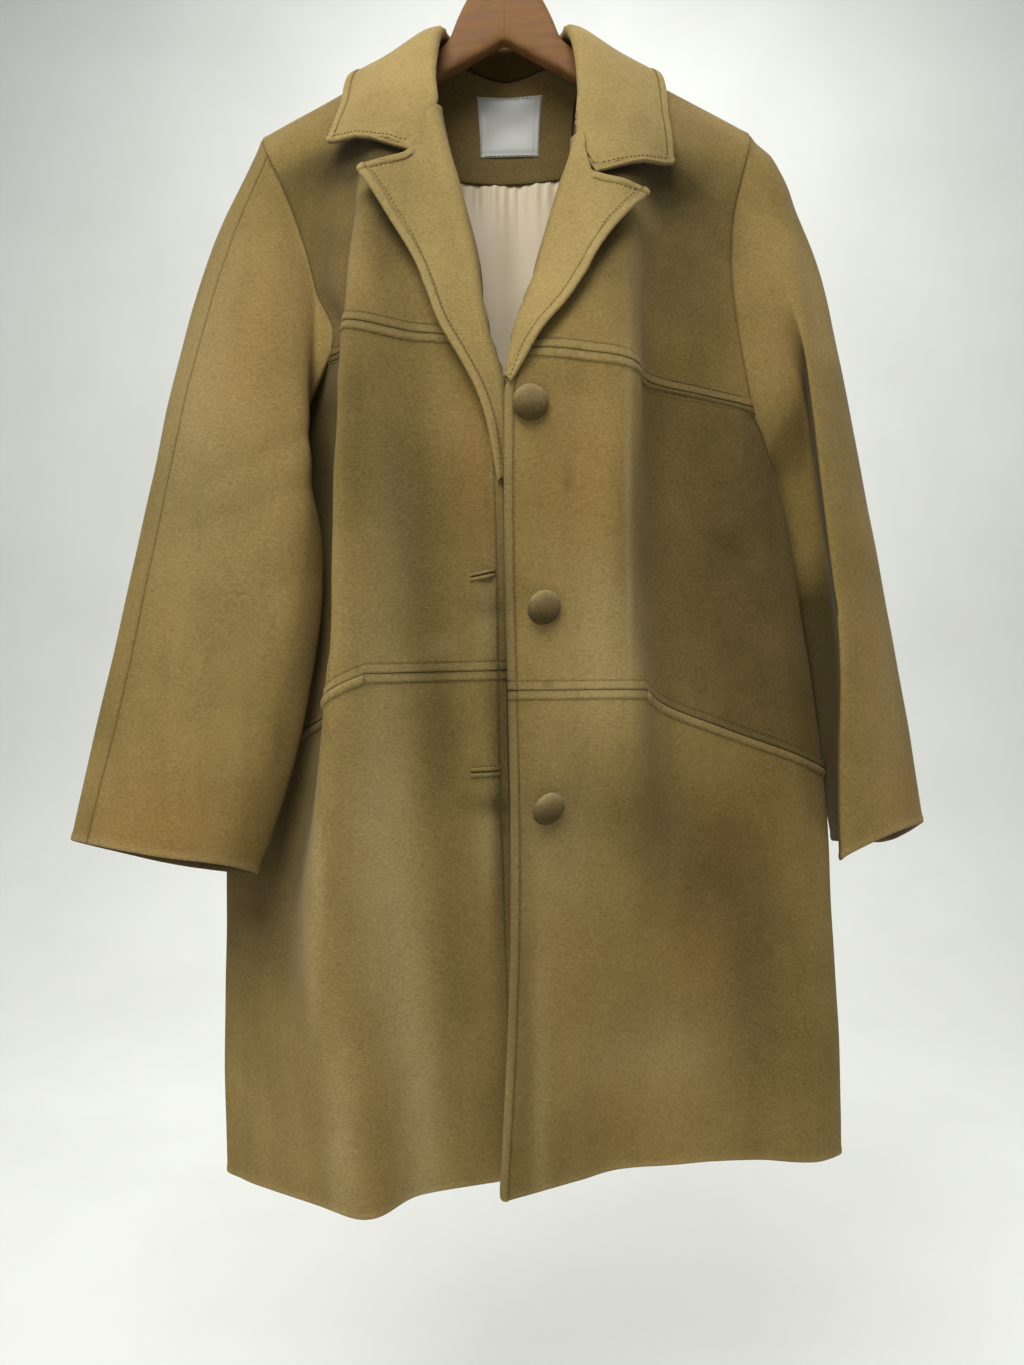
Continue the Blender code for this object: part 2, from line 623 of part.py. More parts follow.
def collar_seam(left, right, back, s):
    """The neckline the stand is sewn to, from the right gorge round the back to the left gorge."""
    if 0.3 < s < 0.7:
        place = BACK_ACROSS[4] + (BACK_ACROSS[6] - BACK_ACROSS[4]) * (s - 0.3) / 0.4
        return back(place, ROW_UP["shoulder"]) + np.array([0, 0, STAND_RISE])
    skin = right if s <= 0.3 else left
    share = min(s, 1 - s) / 0.3
    low = LAPEL_EDGE["left"][0][2] + COLLAR_END_UP
    v = low + (ROW_UP["shoulder"] - low) * share
    out = -unit(skin.across(0.0, v))
    return skin(0.0, v) + out * STAND_RISE


def collar_fold(seam, roll, fall, edge):
    """Points of a section of the collar, with a round fold at the roll."""
    rise = unit(roll - seam)
    across = unit((fall - seam) - np.dot(fall - seam, rise) * rise)
    stand_end = roll - rise * COLLAR_ROLL_RADIUS
    top = roll + across * COLLAR_ROLL_RADIUS
    return np.array([seam, stand_end, top, stand_end + across * 2 * COLLAR_ROLL_RADIUS, fall, edge])


def collar_skin(left, right, back):
    rows = [collar_end(right, "right")]
    for s, *points in COLLAR_STATIONS:
        roll, fall, edge = np.array(points) * MM
        named = collar_fold(collar_seam(left, right, back, s), roll, fall, edge)
        rows.append(smooth(COLLAR_ACROSS, named, np.array(COLLAR_COLUMNS)))
    rows.append(collar_end(left, "left"))
    places = [0.0] + [station[0] for station in COLLAR_STATIONS] + [1.0]
    return Skin(np.array(rows), COLLAR_COLUMNS, places, -1)


def build_collar(left, right, back):
    """The collar; its stand fades out towards the ends, where it starts at the roll."""
    skin = collar_skin(left, right, back)
    s = np.concatenate([np.linspace(0, 0.42, 13), [0.46, 0.5, 0.54], np.linspace(0.58, 1, 13)])[:, None]
    fade = np.clip(np.minimum(s, 1 - s) / COLLAR_COLUMNS_FADE, 0, 1)
    low = COLLAR_COLUMNS[2] * (1 - fade**2 * (3 - 2 * fade))
    share = np.array([0, 0.12, 0.24, 0.27, 0.3, 0.33, 0.36, 0.43, 0.5, 0.58, 0.66, 0.74, 0.83, 0.92, 1])
    across = low + (1 - low) * share[None, :]
    drift = np.array([collar_seam(left, right, back, place) for place in s[:, 0]]) - skin(0.0, s[:, 0])
    pull = np.clip(1 - across / COLLAR_COLUMNS[1], 0, 1)
    outer = skin(across, np.broadcast_to(s, across.shape)) + pull[..., None] * drift[:, None, :]
    add_shell("collar", outer - grid_normals(outer) * COLLAR_WALL, outer, TAN)


def build_neck_inside(back):
    """Facing, lining and label inside the back, on the back's own points."""
    heights = side_heights()
    sink = WALL + 0.8 * MM
    u = BACK_U[NECK_FACING_FIRST:-NECK_FACING_FIRST]
    v = heights[-1 - NECK_FACING_STEPS :].copy()
    v[-1] -= HALF_GAP
    places = np.broadcast_arrays(u[None, :], v[:, None])
    add_patch("back_neck_facing", back, *places, OLIVE, -sink, LINING_WALL)
    u = BACK_U[LINING_FIRST:-LINING_FIRST]
    v = heights[1 : -NECK_FACING_STEPS].copy()
    v[-1] -= SEAM_GAP
    places = np.broadcast_arrays(u[None, :], v[:, None])
    add_patch("lining_back", back, *places, CREAM, -sink, LINING_WALL)
    rise = np.linspace(ROW_UP["breast"], ROW_UP["shoulder"] - 0.001, 200)
    z = back(np.full(200, 0.5), rise)[:, 2]
    v_low, v_top = np.interp([LABEL_TOP_Z - LABEL_TALL, LABEL_TOP_Z], z, rise)
    places = np.linspace(0.36, 0.64, 200)
    x = back(places, np.full(200, (v_top + v_low) / 2))[:, 0]
    sides = np.interp([LABEL_CENTRE_X - LABEL_WIDE / 2, LABEL_CENTRE_X + LABEL_WIDE / 2], x, places)
    u, v = np.meshgrid(np.linspace(*sides, 5), np.linspace(v_low, v_top, 5))
    add_patch("label", back, u, v, SILVER, -sink - LINING_WALL - 0.9 * MM, LABEL_WALL)


SLEEVE_SEAMS = {"right": (23, 12), "left": (1, 19)}
SLEEVE_T = np.array([0.1, 0.2, 0.29, 0.38, 0.44, 0.5, 0.59, 0.68, 0.76, 0.84, 0.92, 1.0])


def build_sleeve(skin, side):
    """Top and under sleeve, with their first row on the body's armhole points."""
    heights = side_heights()
    rise = heights[heights >= ROW_UP["underarm"] - 1e-9]
    share = (rise - rise[0]) / (rise[-1] - rise[0])
    around = np.concatenate([share * SHOULDER_AROUND, 1 - share[-2:0:-1] * (1 - SHOULDER_AROUND)])
    count = len(around)
    top_first, top_last = SLEEVE_SEAMS[side]
    spans = (("sleeve_top", top_first, top_last), ("sleeve_under", top_last, top_first))
    for name, first, last in spans:
        steps = (last - first) % count
        u = np.array([around[(first + k) % count] + (first + k) // count for k in range(steps + 1)])
        u[0] += 0.0009
        u[-1] -= 0.0009
        body_lean = skin.armhole_normals(u)
        away = unit(skin.armhole_outward(u) + body_lean)
        own_lean = skin.normal(u, np.full_like(u, 0.03))
        agree = np.clip(2 * np.sum(own_lean * body_lean, axis=1, keepdims=True), 0, 1)
        lean = unit(own_lean * (1 - agree) + body_lean * agree)
        lean[1:-1] = unit(lean[:-2] + lean[1:-1] + lean[2:])
        start = skin.armhole_points(u) + away * ARMHOLE_GAP
        grid_u, grid_t = np.broadcast_arrays(u[None, :], SLEEVE_T[:, None])
        body = skin(grid_u, grid_t)
        normals = skin.normal(grid_u, np.minimum(grid_t, 0.997))
        outer = np.concatenate([start[None], body])
        inner = np.concatenate([(start - lean * SLEEVE_SEAM_WALL)[None], body - normals * SLEEVE_WALL])
        add_shell(f"{name}_{side}", outer, inner, TAN)


def build_button(name, skin, u, v):
    """A suede-covered dome turned round its own axis, seated on the front."""
    profile = ((0, 0), (11.2, 0), (12.6, 0.9), (13.0, 2.2), (12.2, 4.0), (9.6, 5.8), (5.4, 7.0), (0, 7.5))
    mesh = bpy.data.meshes.new(name)
    edges = [(k, k + 1) for k in range(len(profile) - 1)]
    mesh.from_pydata([(r * MM, 0, z * MM) for r, z in profile], edges, [])
    button = add_object(name, mesh, TAN)
    turn = button.modifiers.new("turn", "SCREW")
    turn.axis = "Z"
    turn.steps = 20
    turn.render_steps = 20
    turn.use_merge_vertices = True
    turn.merge_threshold = 0.0001
    turn.use_normal_calculate = True
    out = Vector(skin.normal(u, v))
    seat = Vector(skin(u, v)) + out * BUTTON_SEAT
    button.matrix_world = Matrix.Translation(seat) @ out.to_track_quat("Z", "Y").to_matrix().to_4x4()


def build_buttonhole(name, skin, u_near, u_far, v):
    u = np.linspace(u_near, u_far, 6)[None, :]
    grid_v = v + np.array([-1.0, -0.4, 0.4, 1.0])[:, None] * BUTTONHOLE_HALF
    grid_u, grid_v = np.broadcast_arrays(u, grid_v)
    add_patch(name, skin, grid_u, grid_v, TAN, 0.4 * MM + BUTTONHOLE_WALL, BUTTONHOLE_WALL)


def build_hanger():
    """Wooden hanger as one rounded bar lofted from arm end to arm end, and its wire hook."""
    half = list(HANGER_HALF)
    for x, tall, thick in zip(HANGER_ARM_X, HANGER_ARM_TALL, HANGER_ARM_HALF):
        top = shoulder_z(x) - HANGER_CLEAR - (29 - tall) * 0.1
        half.append((x, top, top - tall, thick))
    stations = [(-x, top, low, thick) for x, top, low, thick in half[:0:-1]] + half
    turns = np.linspace(0, 2 * np.pi, 12, endpoint=False)
    rings = []
    for x, top, low, thick in stations:
        square = 1.05 if abs(x) > HANGER_ARM_FROM else 0.7
        y = thick * np.sign(np.cos(turns)) * np.abs(np.cos(turns)) ** square
        z = (top + low) / 2 + (top - low) / 2 * np.sign(np.sin(turns)) * np.abs(np.sin(turns)) ** square
        rings.append(np.column_stack([np.full(12, x), y, z]) * MM)
    wood = bmesh.new()
    loops = [[wood.verts.new(point) for point in ring] for ring in rings]
    for one, two in zip(loops, loops[1:]):
        for k in range(12):
            wood.faces.new((one[k], two[k], two[(k + 1) % 12], one[(k + 1) % 12]))
    wood.faces.new(loops[0])
    wood.faces.new(loops[-1])
    bmesh.ops.triangulate(wood, faces=wood.faces)
    bmesh.ops.recalc_face_normals(wood, faces=wood.faces)
    mesh = bpy.data.meshes.new("hanger_body")
    wood.to_mesh(mesh)
    wood.free()
    add_object("hanger_body", mesh, WOOD, 0.45)

    centre = -HOOK_RADIUS
    bend = HOOK_RADIUS + WIRE_RADIUS
    turns = np.radians(np.linspace(-90, 195, 22))
    path = [(0, 0, HOOK_FOOT_Z)]
    path += [(bend * np.cos(a), 0, centre + bend * np.sin(a)) for a in turns]
    wire = bpy.data.curves.new("hanger_hook", "CURVE")
    wire.dimensions = "3D"
    wire.bevel_depth = WIRE_RADIUS
    wire.bevel_resolution = 1
    wire.use_fill_caps = True
    line = wire.splines.new("POLY")
    line.points.add(len(path) - 1)
    for point, place in zip(line.points, path):
        point.co = (*place, 1)
    hook = bpy.data.objects.new("hanger_hook", wire)
    coat.objects.link(hook)
    wire.materials.append(make_material("hanger_hook", STEEL, 0.3, 1.0))


for thing in list(bpy.data.objects):
    bpy.data.objects.remove(thing)
coat = bpy.data.collections.new("suede_coat_on_hanger")
bpy.context.scene.collection.children.link(coat)

left_front = front_skin(LEFT_FRONT, "left")
right_front = front_skin(RIGHT_FRONT, "right")
back_panel = back_skin(left_front, right_front)

build_hanger()
build_front(left_front, "left")
build_front(right_front, "right")
build_back(back_panel)
build_lapel(left_front, "left")
build_lapel(right_front, "right")
build_collar(left_front, right_front, back_panel)
build_neck_inside(back_panel)
build_sleeve(Sleeve(LEFT_SLEEVE, left_front, back_panel, 1.0, -1), "left")
build_sleeve(Sleeve(RIGHT_SLEEVE, right_front, back_panel, 0.0, 1), "right")
for button_name, button_u, button_v in BUTTONS:
    build_button(button_name, left_front, button_u, button_v)
for hole_name, hole_near, hole_far, hole_v in BUTTONHOLES:
    build_buttonhole(hole_name, right_front, hole_near, hole_far, hole_v)
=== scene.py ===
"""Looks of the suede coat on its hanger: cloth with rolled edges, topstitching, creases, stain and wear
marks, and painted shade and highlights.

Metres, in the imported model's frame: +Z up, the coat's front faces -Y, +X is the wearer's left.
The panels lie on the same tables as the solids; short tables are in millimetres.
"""

import bpy
import numpy as np
from mathutils import Matrix, Vector


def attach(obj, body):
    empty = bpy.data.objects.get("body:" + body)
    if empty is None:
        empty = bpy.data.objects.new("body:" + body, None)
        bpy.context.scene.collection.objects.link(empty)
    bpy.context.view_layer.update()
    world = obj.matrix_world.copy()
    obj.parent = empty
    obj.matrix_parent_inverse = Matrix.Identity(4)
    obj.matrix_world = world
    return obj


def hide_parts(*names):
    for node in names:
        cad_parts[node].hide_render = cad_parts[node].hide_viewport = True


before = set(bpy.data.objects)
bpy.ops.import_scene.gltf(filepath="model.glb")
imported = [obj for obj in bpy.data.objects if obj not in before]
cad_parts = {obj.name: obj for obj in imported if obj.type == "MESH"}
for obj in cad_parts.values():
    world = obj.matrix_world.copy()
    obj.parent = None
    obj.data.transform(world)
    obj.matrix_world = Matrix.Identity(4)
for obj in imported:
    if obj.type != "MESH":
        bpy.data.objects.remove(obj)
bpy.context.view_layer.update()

MM = 0.001

# Thickness of the cloths
WALL = 2.0 * MM
SLEEVE_WALL = 1.2 * MM
LAPEL_WALL = 2.4 * MM
COLLAR_WALL = 2.2 * MM
LINING_WALL = 1.0 * MM

# Rows of the coat from hem to shoulder seam, and how far each lies up the cloth
ROW_UP = {
    "hem": 0.0,
    "low": 0.095,
    "thigh": 0.195,
    "pocket": 0.295,
    "hip": 0.385,
    "waist": 0.455,
    "rib": 0.535,
    "underarm": 0.593,
    "yoke": 0.630,
    "chest": 0.690,
    "breast": 0.765,
    "gorge": 0.835,
    "over": 0.885,
    "shoulder": 0.915,
}
# The last height is that of a row beyond the shoulder seam
ROW_HEIGHTS = [*ROW_UP.values(), 2 * ROW_UP["shoulder"] - ROW_UP["over"]]
UNDERARM_ROW = list(ROW_UP).index("underarm")
BODY_ROWS = ("hem", "low", "thigh", "pocket", "hip", "waist", "rib", "underarm")

# Points across a front, from its front edge or roll line to the side seam or armhole
FRONT_ACROSS = {
    "edge": 0.0,
    "flat": 0.25,
    "crease": 0.5,
    "hollow": 0.58,
    "tuck": 0.74,
    "flank": 0.93,
    "side": 1.0,
}

# Share across of a column beyond the side, which sets the slopes there
FRONT_BEYOND = 1.07

# Fronts, millimetres: row, z at the edge, z at the side, then x and y of
# edge, flat, crease, hollow, tuck, flank and side
LEFT_FRONT = (
    ("hem", -1055, -1055, (-13, -66), (48, -33), (104, -6), (140, 0), (195, 1), (252, 2), (268, 16)),
    ("low", -960, -960, (-7, -75), (50, -52), (102, -28), (136, -18), (190, -10), (249, -6), (265, 8)),
    ("thigh", -860, -860, (-3, -85), (50, -68), (101, -50), (130, -34), (184, -20), (245, -10), (261, 4)),
    ("pocket", -760, -760, (-2, -93), (49, -83), (100, -71), (120, -51),
     (174, -31), (241, -13), (257, 1)),
    ("hip", -673, -673, (-3, -101), (48, -94), (97, -86), (111, -63), (166, -38), (232, -15), (248, -1)),
    ("waist", -600, -600, (-4, -107), (46, -101), (91, -92), (107, -65),
     (160, -42), (221, -18), (237, -4)),
    ("rib", -520, -520, (-4, -113), (46, -108), (93, -97), (105, -69),
     (156, -48), (208, -24), (223, -10)),
    ("underarm", -462, -462, (-3, -118), (47, -115), (96, -100), (104, -71),
     (152, -52), (191, -34), (203, -20)),
    ("yoke", -426, -446, (6, -118), (50, -122), (96, -101), (103, -73),
     (150, -51), (189, -35), (196, -31)),
    ("chest", -370, -365, (23, -104), (58, -109), (95, -96), (104, -75),
     (143, -53), (178, -36), (183, -33)),
    ("breast", -300, -300, (42, -86), (70, -88), (100, -79), (111, -65),
     (145, -48), (177, -34), (182, -31)),
    ("gorge", -235, -255, (58, -62), (82, -62), (108, -55), (119, -49),
     (152, -39), (186, -29), (192, -26)),
    ("over", -165, -222, (68, -27), (92, -26), (118, -24), (128, -23),
     (160, -21), (194, -19), (201, -18)),
)
RIGHT_FRONT = (
    ("hem", -1055, -1055, (6, -24), (-72, -52), (-120, -86), (-148, -68),
     (-185, -44), (-218, -20), (-232, -6)),
    ("low", -960, -960, (3, -46), (-75, -72), (-138, -90), (-163, -68),
     (-193, -42), (-221, -17), (-235, -3)),
    ("thigh", -860, -860, (0, -65), (-78, -88), (-150, -98), (-166, -66),
     (-193, -38), (-221, -14), (-235, 1)),
    ("pocket", -757, -757, (-2, -84), (-78, -103), (-141, -111), (-148, -78),
     (-180, -42), (-218, -14), (-233, 1)),
    ("hip", -658, -664, (-3, -94), (-75, -112), (-131, -121), (-130, -88),
     (-160, -48), (-209, -15), (-224, -1)),
    ("waist", -592, -596, (-3, -99), (-73, -116), (-127, -126), (-120, -94),
     (-146, -52), (-199, -17), (-214, -3)),
    ("rib", -516, -518, (-4, -104), (-72, -118), (-124, -131), (-116, -98),
     (-138, -54), (-186, -19), (-201, -5)),
    ("underarm", -458, -462, (-6, -109), (-70, -117), (-121, -132), (-116, -100),
     (-136, -60), (-163, -33), (-174, -20)),
    ("yoke", -416, -412, (-18, -112), (-66, -115), (-116, -131), (-117, -107),
     (-124, -88), (-132, -68), (-138, -61)),
    ("chest", -362, -355, (-26, -104), (-64, -110), (-113, -113), (-119, -97),
     (-133, -74), (-146, -54), (-151, -48)),
    ("breast", -290, -299, (-40, -88), (-70, -91), (-107, -92), (-117, -80),
     (-142, -55), (-162, -39), (-167, -35)),
    ("gorge", -212, -253, (-58, -62), (-80, -62), (-107, -58), (-119, -51),
     (-151, -39), (-179, -28), (-185, -25)),
    ("over", -162, -222, (-68, -27), (-92, -26), (-115, -24), (-127, -23),
     (-160, -21), (-191, -19), (-199, -18)),
)

# Shoulder seam: a straight line over the hanger from neck point to shoulder point
NECK_X = 72
NECK_Z = -132
SHOULDER_X = 204
SHOULDER_Z = -205

# Back below the armhole, millimetres: row, then y at the blade, nape and centre
BACK_BODY = (
    ("hem", 46, 36, 45),
    ("low", 45, 37, 44),
    ("thigh", 44, 38, 43),
    ("pocket", 43, 39, 42),
    ("hip", 42, 40, 41),
    ("waist", 41, 40, 40),
    ("rib", 40, 40, 39),
    ("underarm", 38, 40, 39),
)
BACK_ACROSS = (0.0, 0.035, 0.2, 0.34, 0.38, 0.5, 0.62, 0.66, 0.8, 0.965, 1.0)
BLADE_SHARE = 0.62
NAPE_SHARE = 0.33
NECK_SHARE = 0.26

# Back above the armhole, millimetres: row, then x, y, z of armhole, flank, blade, nape and neck,
# y and z of centre
BACK_UPPER = (
    ("yoke", (182, 12, -430), (173, 24, -427), (124, 37, -424), (66, 40, -422),
     (52, 40, -422), (39, -422)),
    ("chest", (178, 31, -365), (169, 34, -364), (122, 37, -362), (66, 39, -361),
     (52, 39, -361), (39, -361)),
    ("breast", (180, 31, -300), (171, 33, -297), (118, 36, -290), (68, 38, -286),
     (54, 38, -285), (39, -285)),
    ("gorge", (190, 24, -254), (181, 25, -250), (118, 30, -229), (74, 34, -217),
     (58, 36, -215), (38, -215)),
    ("over", (199, 14, -222), (190, 15, -217), (119, 19, -180), (78, 21, -160),
     (64, 25, -156), (38, -165)),
)
NAPE_X = 86
# x on the shoulder seam, from beyond the shoulder point to the neck point
BACK_SEAM_X = (213, SHOULDER_X, 195, 130, NAPE_X, NECK_X)
BACK_NECK_Y = 35
BACK_NECK_Z = -138

# Sleeve rings: place round the ring from the underarm by way of the front, and share of the ring's height
RING_AROUND = (0.0, 0.17, 0.35, 0.55, 0.80, 0.92)
RING_HEIGHT = (0.0, 0.3, 0.62, 1.0, 0.22, 0.05)
RING_BACK = 4
SHOULDER_AROUND = 0.55

# Sleeves, millimetres: place along, z outer, z inner, then x and y of inner, valley, front, outer,
# back and under
RIGHT_SLEEVE = (
    (0.20, -318, -482, (-174, -41), (-151, -74), (-184, -78), (-241, -28), (-220, 2), (-201, -24)),
    (0.38, -440, -524, (-156, -59), (-149, -84), (-192, -93), (-266, -50), (-210, -28), (-184, -40)),
    (0.50, -505, -560, (-144, -67), (-150, -88), (-200, -97), (-275, -58), (-216, -40), (-182, -52)),
    (0.68, -605, -640, (-147, -73), (-158, -91), (-213, -99), (-295, -64), (-234, -44), (-190, -57)),
    (0.84, -694, -722, (-163, -75), (-176, -92), (-230, -99), (-314, -66), (-250, -46), (-206, -60)),
    (1.00, -783, -808, (-192, -75), (-206, -92), (-256, -98), (-333, -68), (-272, -47), (-232, -61)),
)
LEFT_SLEEVE = (
    (0.20, -318, -480, (211, -11), (226, -39), (224, -57), (252, -16), (230, 24), (224, 6)),
    (0.38, -430, -514, (220, 6), (247, -8), (236, -61), (275, -17), (255, 32), (236, 17)),
    (0.50, -500, -552, (229, 11), (252, -6), (241, -63), (288, -13), (271, 40), (246, 26)),
    (0.68, -600, -636, (242, 14), (258, -22), (248, -67), (305, -14), (291, 45), (264, 32)),
    (0.84, -690, -712, (254, 20), (262, -28), (252, -72), (317, -20), (301, 44), (276, 36)),
    (1.00, -780, -798, (268, 14), (264, -40), (254, -80), (325, -28), (308, 36), (288, 28)),
)
# Drop of each cuff's back edge, which grows along the sleeve
CUFF_BACK_DROP = {"left": 9 * MM, "right": 0 * MM}

# Places round a sleeve of the first and last seam of its top part, and share of painted shade on its inner
# side
SLEEVE_SPANS = {"right": (0.902, 0.472), "left": (0.032, 0.716)}
INSIDE_SHADE = {"right": 0.9, "left": 0.3}

# Places along a sleeve where its cloth starts and ends, and its half thickness where it is sewn in
SLEEVE_ENDS = (0.002, 0.998)
SEWN_HALF = 0.1 * MM

# Left sleeve: height of its fuller top, and shift of its cuff's front corner
CAP_HIGH = 7 * MM
CUFF_PULL = np.array([-11, 0, -15]) * MM

# Hip seam: level to a corner, then slanted down to the side seam
HIP_SLANT_DROP = 0.068
HIP_CORNER = {"left": 0.52, "right": 0.35}

# Pocket welts: from below to above the seam, height, depth of their edge and of their inner side, and share
# of painted shade beyond the crease
WELT_LOW = -7.5 * MM
WELT_HIGH = 0.6 * MM
WELT_RISE = 2.6 * MM
WELT_SINK = 1.0 * MM
WELT_DEEP = 1.2 * MM
WELT_SHADE = {"left": 0.0, "right": 0.75}

# Lapels: share across and height up the front of the outer edge, from the tip down to the break,
# with the height of the roll line beside it and the lift of the edge off the front
LAPEL_EDGE = {
    "left": (
        (0.49, 0.758, 0.828, 15),
        (0.38, 0.724, 0.776, 12),
        (0.27, 0.692, 0.732, 10),
        (0.19, 0.662, 0.692, 9),
        (0.10, 0.637, 0.652, 8),
        (0.02, 0.602, 0.606, 5),
    ),
    "right": (
        (0.48, 0.765, 0.828, 16),
        (0.36, 0.711, 0.772, 13),
        (0.25, 0.668, 0.722, 11),
        (0.18, 0.637, 0.676, 10),
        (0.10, 0.610, 0.632, 9),
        (0.05, 0.577, 0.586, 7),
        (0.02, 0.530, 0.534, 5),
    ),
}
NOTCH_ACROSS = {"left": 0.36, "right": 0.46}
NOTCH_SAG = {"left": 0.021, "right": 0.009}
LAPEL_BASE_LIFT = 0.9 * MM + LAPEL_WALL
ROLL_REACH = 1.6 * MM + LAPEL_WALL
BREAK_REACH = 0.5 * MM
COLLAR_REACH = 1.8 * MM
COLLAR_SINK = 2.8 * MM
FACING_ACROSS = 0.09
LAPEL_INSIDE = -0.24
GORGE_UP = 0.0045

# Collar: place along from the right end to the left end, then x, y, z of roll, fall and edge in millimetres
COLLAR_STATIONS = (
    (0.14, (-55, -48, -178), (-94, -58, -199), (-132, -46, -208)),
    (0.30, (-50, -9, -120), (-89, -9, -136), (-124, -5, -155)),
    (0.42, (-37, 22, -106), (-68, 31, -124), (-92, 35, -160)),
    (0.50, (0, 35, -102), (0, 49, -122), (0, 53, -170)),
    (0.58, (37, 22, -106), (68, 31, -124), (92, 35, -160)),
    (0.70, (50, -9, -120), (89, -9, -136), (125, -5, -156)),
    (0.86, (57, -47, -188), (95, -55, -211), (130, -40, -219)),
)
COLLAR_ACROSS = (0.0, 0.24, 0.3, 0.36, 0.62, 1.0)
COLLAR_COLUMNS = (0.0, 0.24, 0.3, 0.36, 0.43, 0.5, 0.66, 0.83, 1.0)
COLLAR_ROLL_RADIUS = 4.5 * MM
COLLAR_COLUMNS_FADE = 0.16
# Place along the collar where it meets the right shoulder seam
COLLAR_SHOULDER = 0.3
COLLAR_TIP = {"left": (0.63, 0.806, 15), "right": (0.66, 0.820, 17)}
COLLAR_END_UP = {"left": (-0.003, -0.004, -0.006, 0.0), "right": (-0.003, -0.005, -0.009, -0.004)}
STAND_RISE = 2.6 * MM

# Inside of the back: shares across and heights, and depth below the back's outer side
FACING_HALF = 0.115
FACING_ENDS = (0.5 - FACING_HALF, 0.5 + FACING_HALF)
FACING_LOW = 0.828
FACING_SAG = 0.006
FACING_SINK = WALL + 2.4 * MM
LINING_ENDS = (0.1, 0.9)
LINING_LOW = 0.035
LINING_SINK = WALL + 1.2 * MM
GATHER_HIGH = 1.7 * MM
FOLD_HIGH = 1.0 * MM
LABEL_SINK = FACING_SINK + LINING_WALL + 0.7 * MM
LABEL_STEPS = 40
LABEL_WIDE = 50 * MM
LABEL_TALL = 53 * MM
LABEL_CENTRE_X = 3 * MM
LABEL_TOP_Z = -151 * MM
LABEL_WALL = 0.6 * MM
LABEL_WAVE = 0.5 * MM

# Buttons on the left front and buttonholes on the right front
BUTTON_RADIUS = 13 * MM
BUTTON_SEAT = 0.6 * MM
BUTTON_RIM = 12.4 * MM
BUTTON_RIM_HALF = 1.2 * MM
BUTTON_RINGS = 34
BUTTON_TURNS = 56
HOLE_HALF = 3.4 * MM
HOLE_DEEP = 1.4 * MM
HOLE_FOOT = 0.1 * MM
HOLE_LIP = 1.3 * MM
HOLE_SLIT = 1.1 * MM

# Button section, millimetres: place along it, radius and height, from the foot of the shank to the top
BUTTON_SECTION = (
    (0.0, 2.6, -0.6),
    (0.1, 2.6, 0.2),
    (0.2, 11.0, 0.3),
    (0.32, 12.7, 1.0),
    (0.45, 13.0, 2.4),
    (0.6, 11.8, 4.8),
    (0.8, 7.4, 7.2),
    (1.0, 0.4, 8.2),
)

# Buttons: share across, height and tilt in degrees
BUTTONS = (
    ("button_top", 0.092, 0.588, 5),
    ("button_middle", 0.131, 0.443, 24),
    ("button_bottom", 0.128, 0.297, 27),
)

# Buttonholes: share across of both ends, height and how far the far end hangs lower
BUTTONHOLES = (
    ("buttonhole_middle", 0.030, 0.092, 0.461, 0.0042),
    ("buttonhole_bottom", 0.020, 0.092, 0.318, 0.0004),
)

# Hanger, millimetres: x, top z, bottom z and half thickness, centre to arm end
HANGER_HALF = (
    (0, -62, -125, 8),
    (12, -65, -131, 8),
    (24, -76, -138, 8),
    (33, -91, -143, 8),
    (40, -106, -147, 8),
    (46, -121, -150, 7.5),
    (54, -129, -155, 7),
)
# Hanger's arm under the shoulder seam, millimetres: x, height and half thickness
HANGER_ARM = (
    (72, 29, 5.5),
    (100, 28, 5.5),
    (130, 27, 5.5),
    (160, 25, 5.5),
    (186, 22, 5),
    (194, 14, 3.5),
)
# Clearance under the seam, and depth and half width of the centre joint, millimetres
HANGER_CLEAR = 3.5
JOINT_DEEP = 0.35
JOINT_HALF = 0.3
HANGER_TURNS = 40
WIRE_TURNS = 16
WIRE_RADIUS = 1.8 * MM
HOOK_RADIUS = 20 * MM
HOOK_FOOT_Z = -61.5 * MM
HOOK_SUNK = 4 * MM
# Degrees round the hook's bend, from its foot to its end
HOOK_TURN = (-90, 195)


def smooth(knots, points, at, pinned=None):
    """Cubic through points at their knots; points may hold one curve or one curve for each place in at.

    At the pinned knot the slope comes from the stretch before it.
    """
    knots = np.asarray(knots, float)
    at = np.asarray(at, float)
    slopes = np.gradient(points, knots, axis=0)
    if pinned is not None:
        slopes[pinned] = (points[pinned] - points[pinned - 1]) / (knots[pinned] - knots[pinned - 1])
    left = np.clip(np.searchsorted(knots, at, side="right") - 1, 0, len(knots) - 2)
    width = (knots[left + 1] - knots[left])[:, None]
    s = (at - knots[left])[:, None] / width
    if points.ndim == 3:
        n = np.arange(len(at))
        start, end = points[left, n], points[left + 1, n]
        go, stop = slopes[left, n] * width, slopes[left + 1, n] * width
    else:
        start, end = points[left], points[left + 1]
        go, stop = slopes[left] * width, slopes[left + 1] * width
    rise = end - start
    return start + s * go + s**2 * (3 * rise - 2 * go - stop) + s**3 * (go + stop - 2 * rise)


def unit(vectors):
    return vectors / np.linalg.norm(vectors, axis=-1, keepdims=True)


def shoulder_z(x):
    return NECK_Z + (SHOULDER_Z - NECK_Z) * (abs(x) - NECK_X) / (SHOULDER_X - NECK_X)


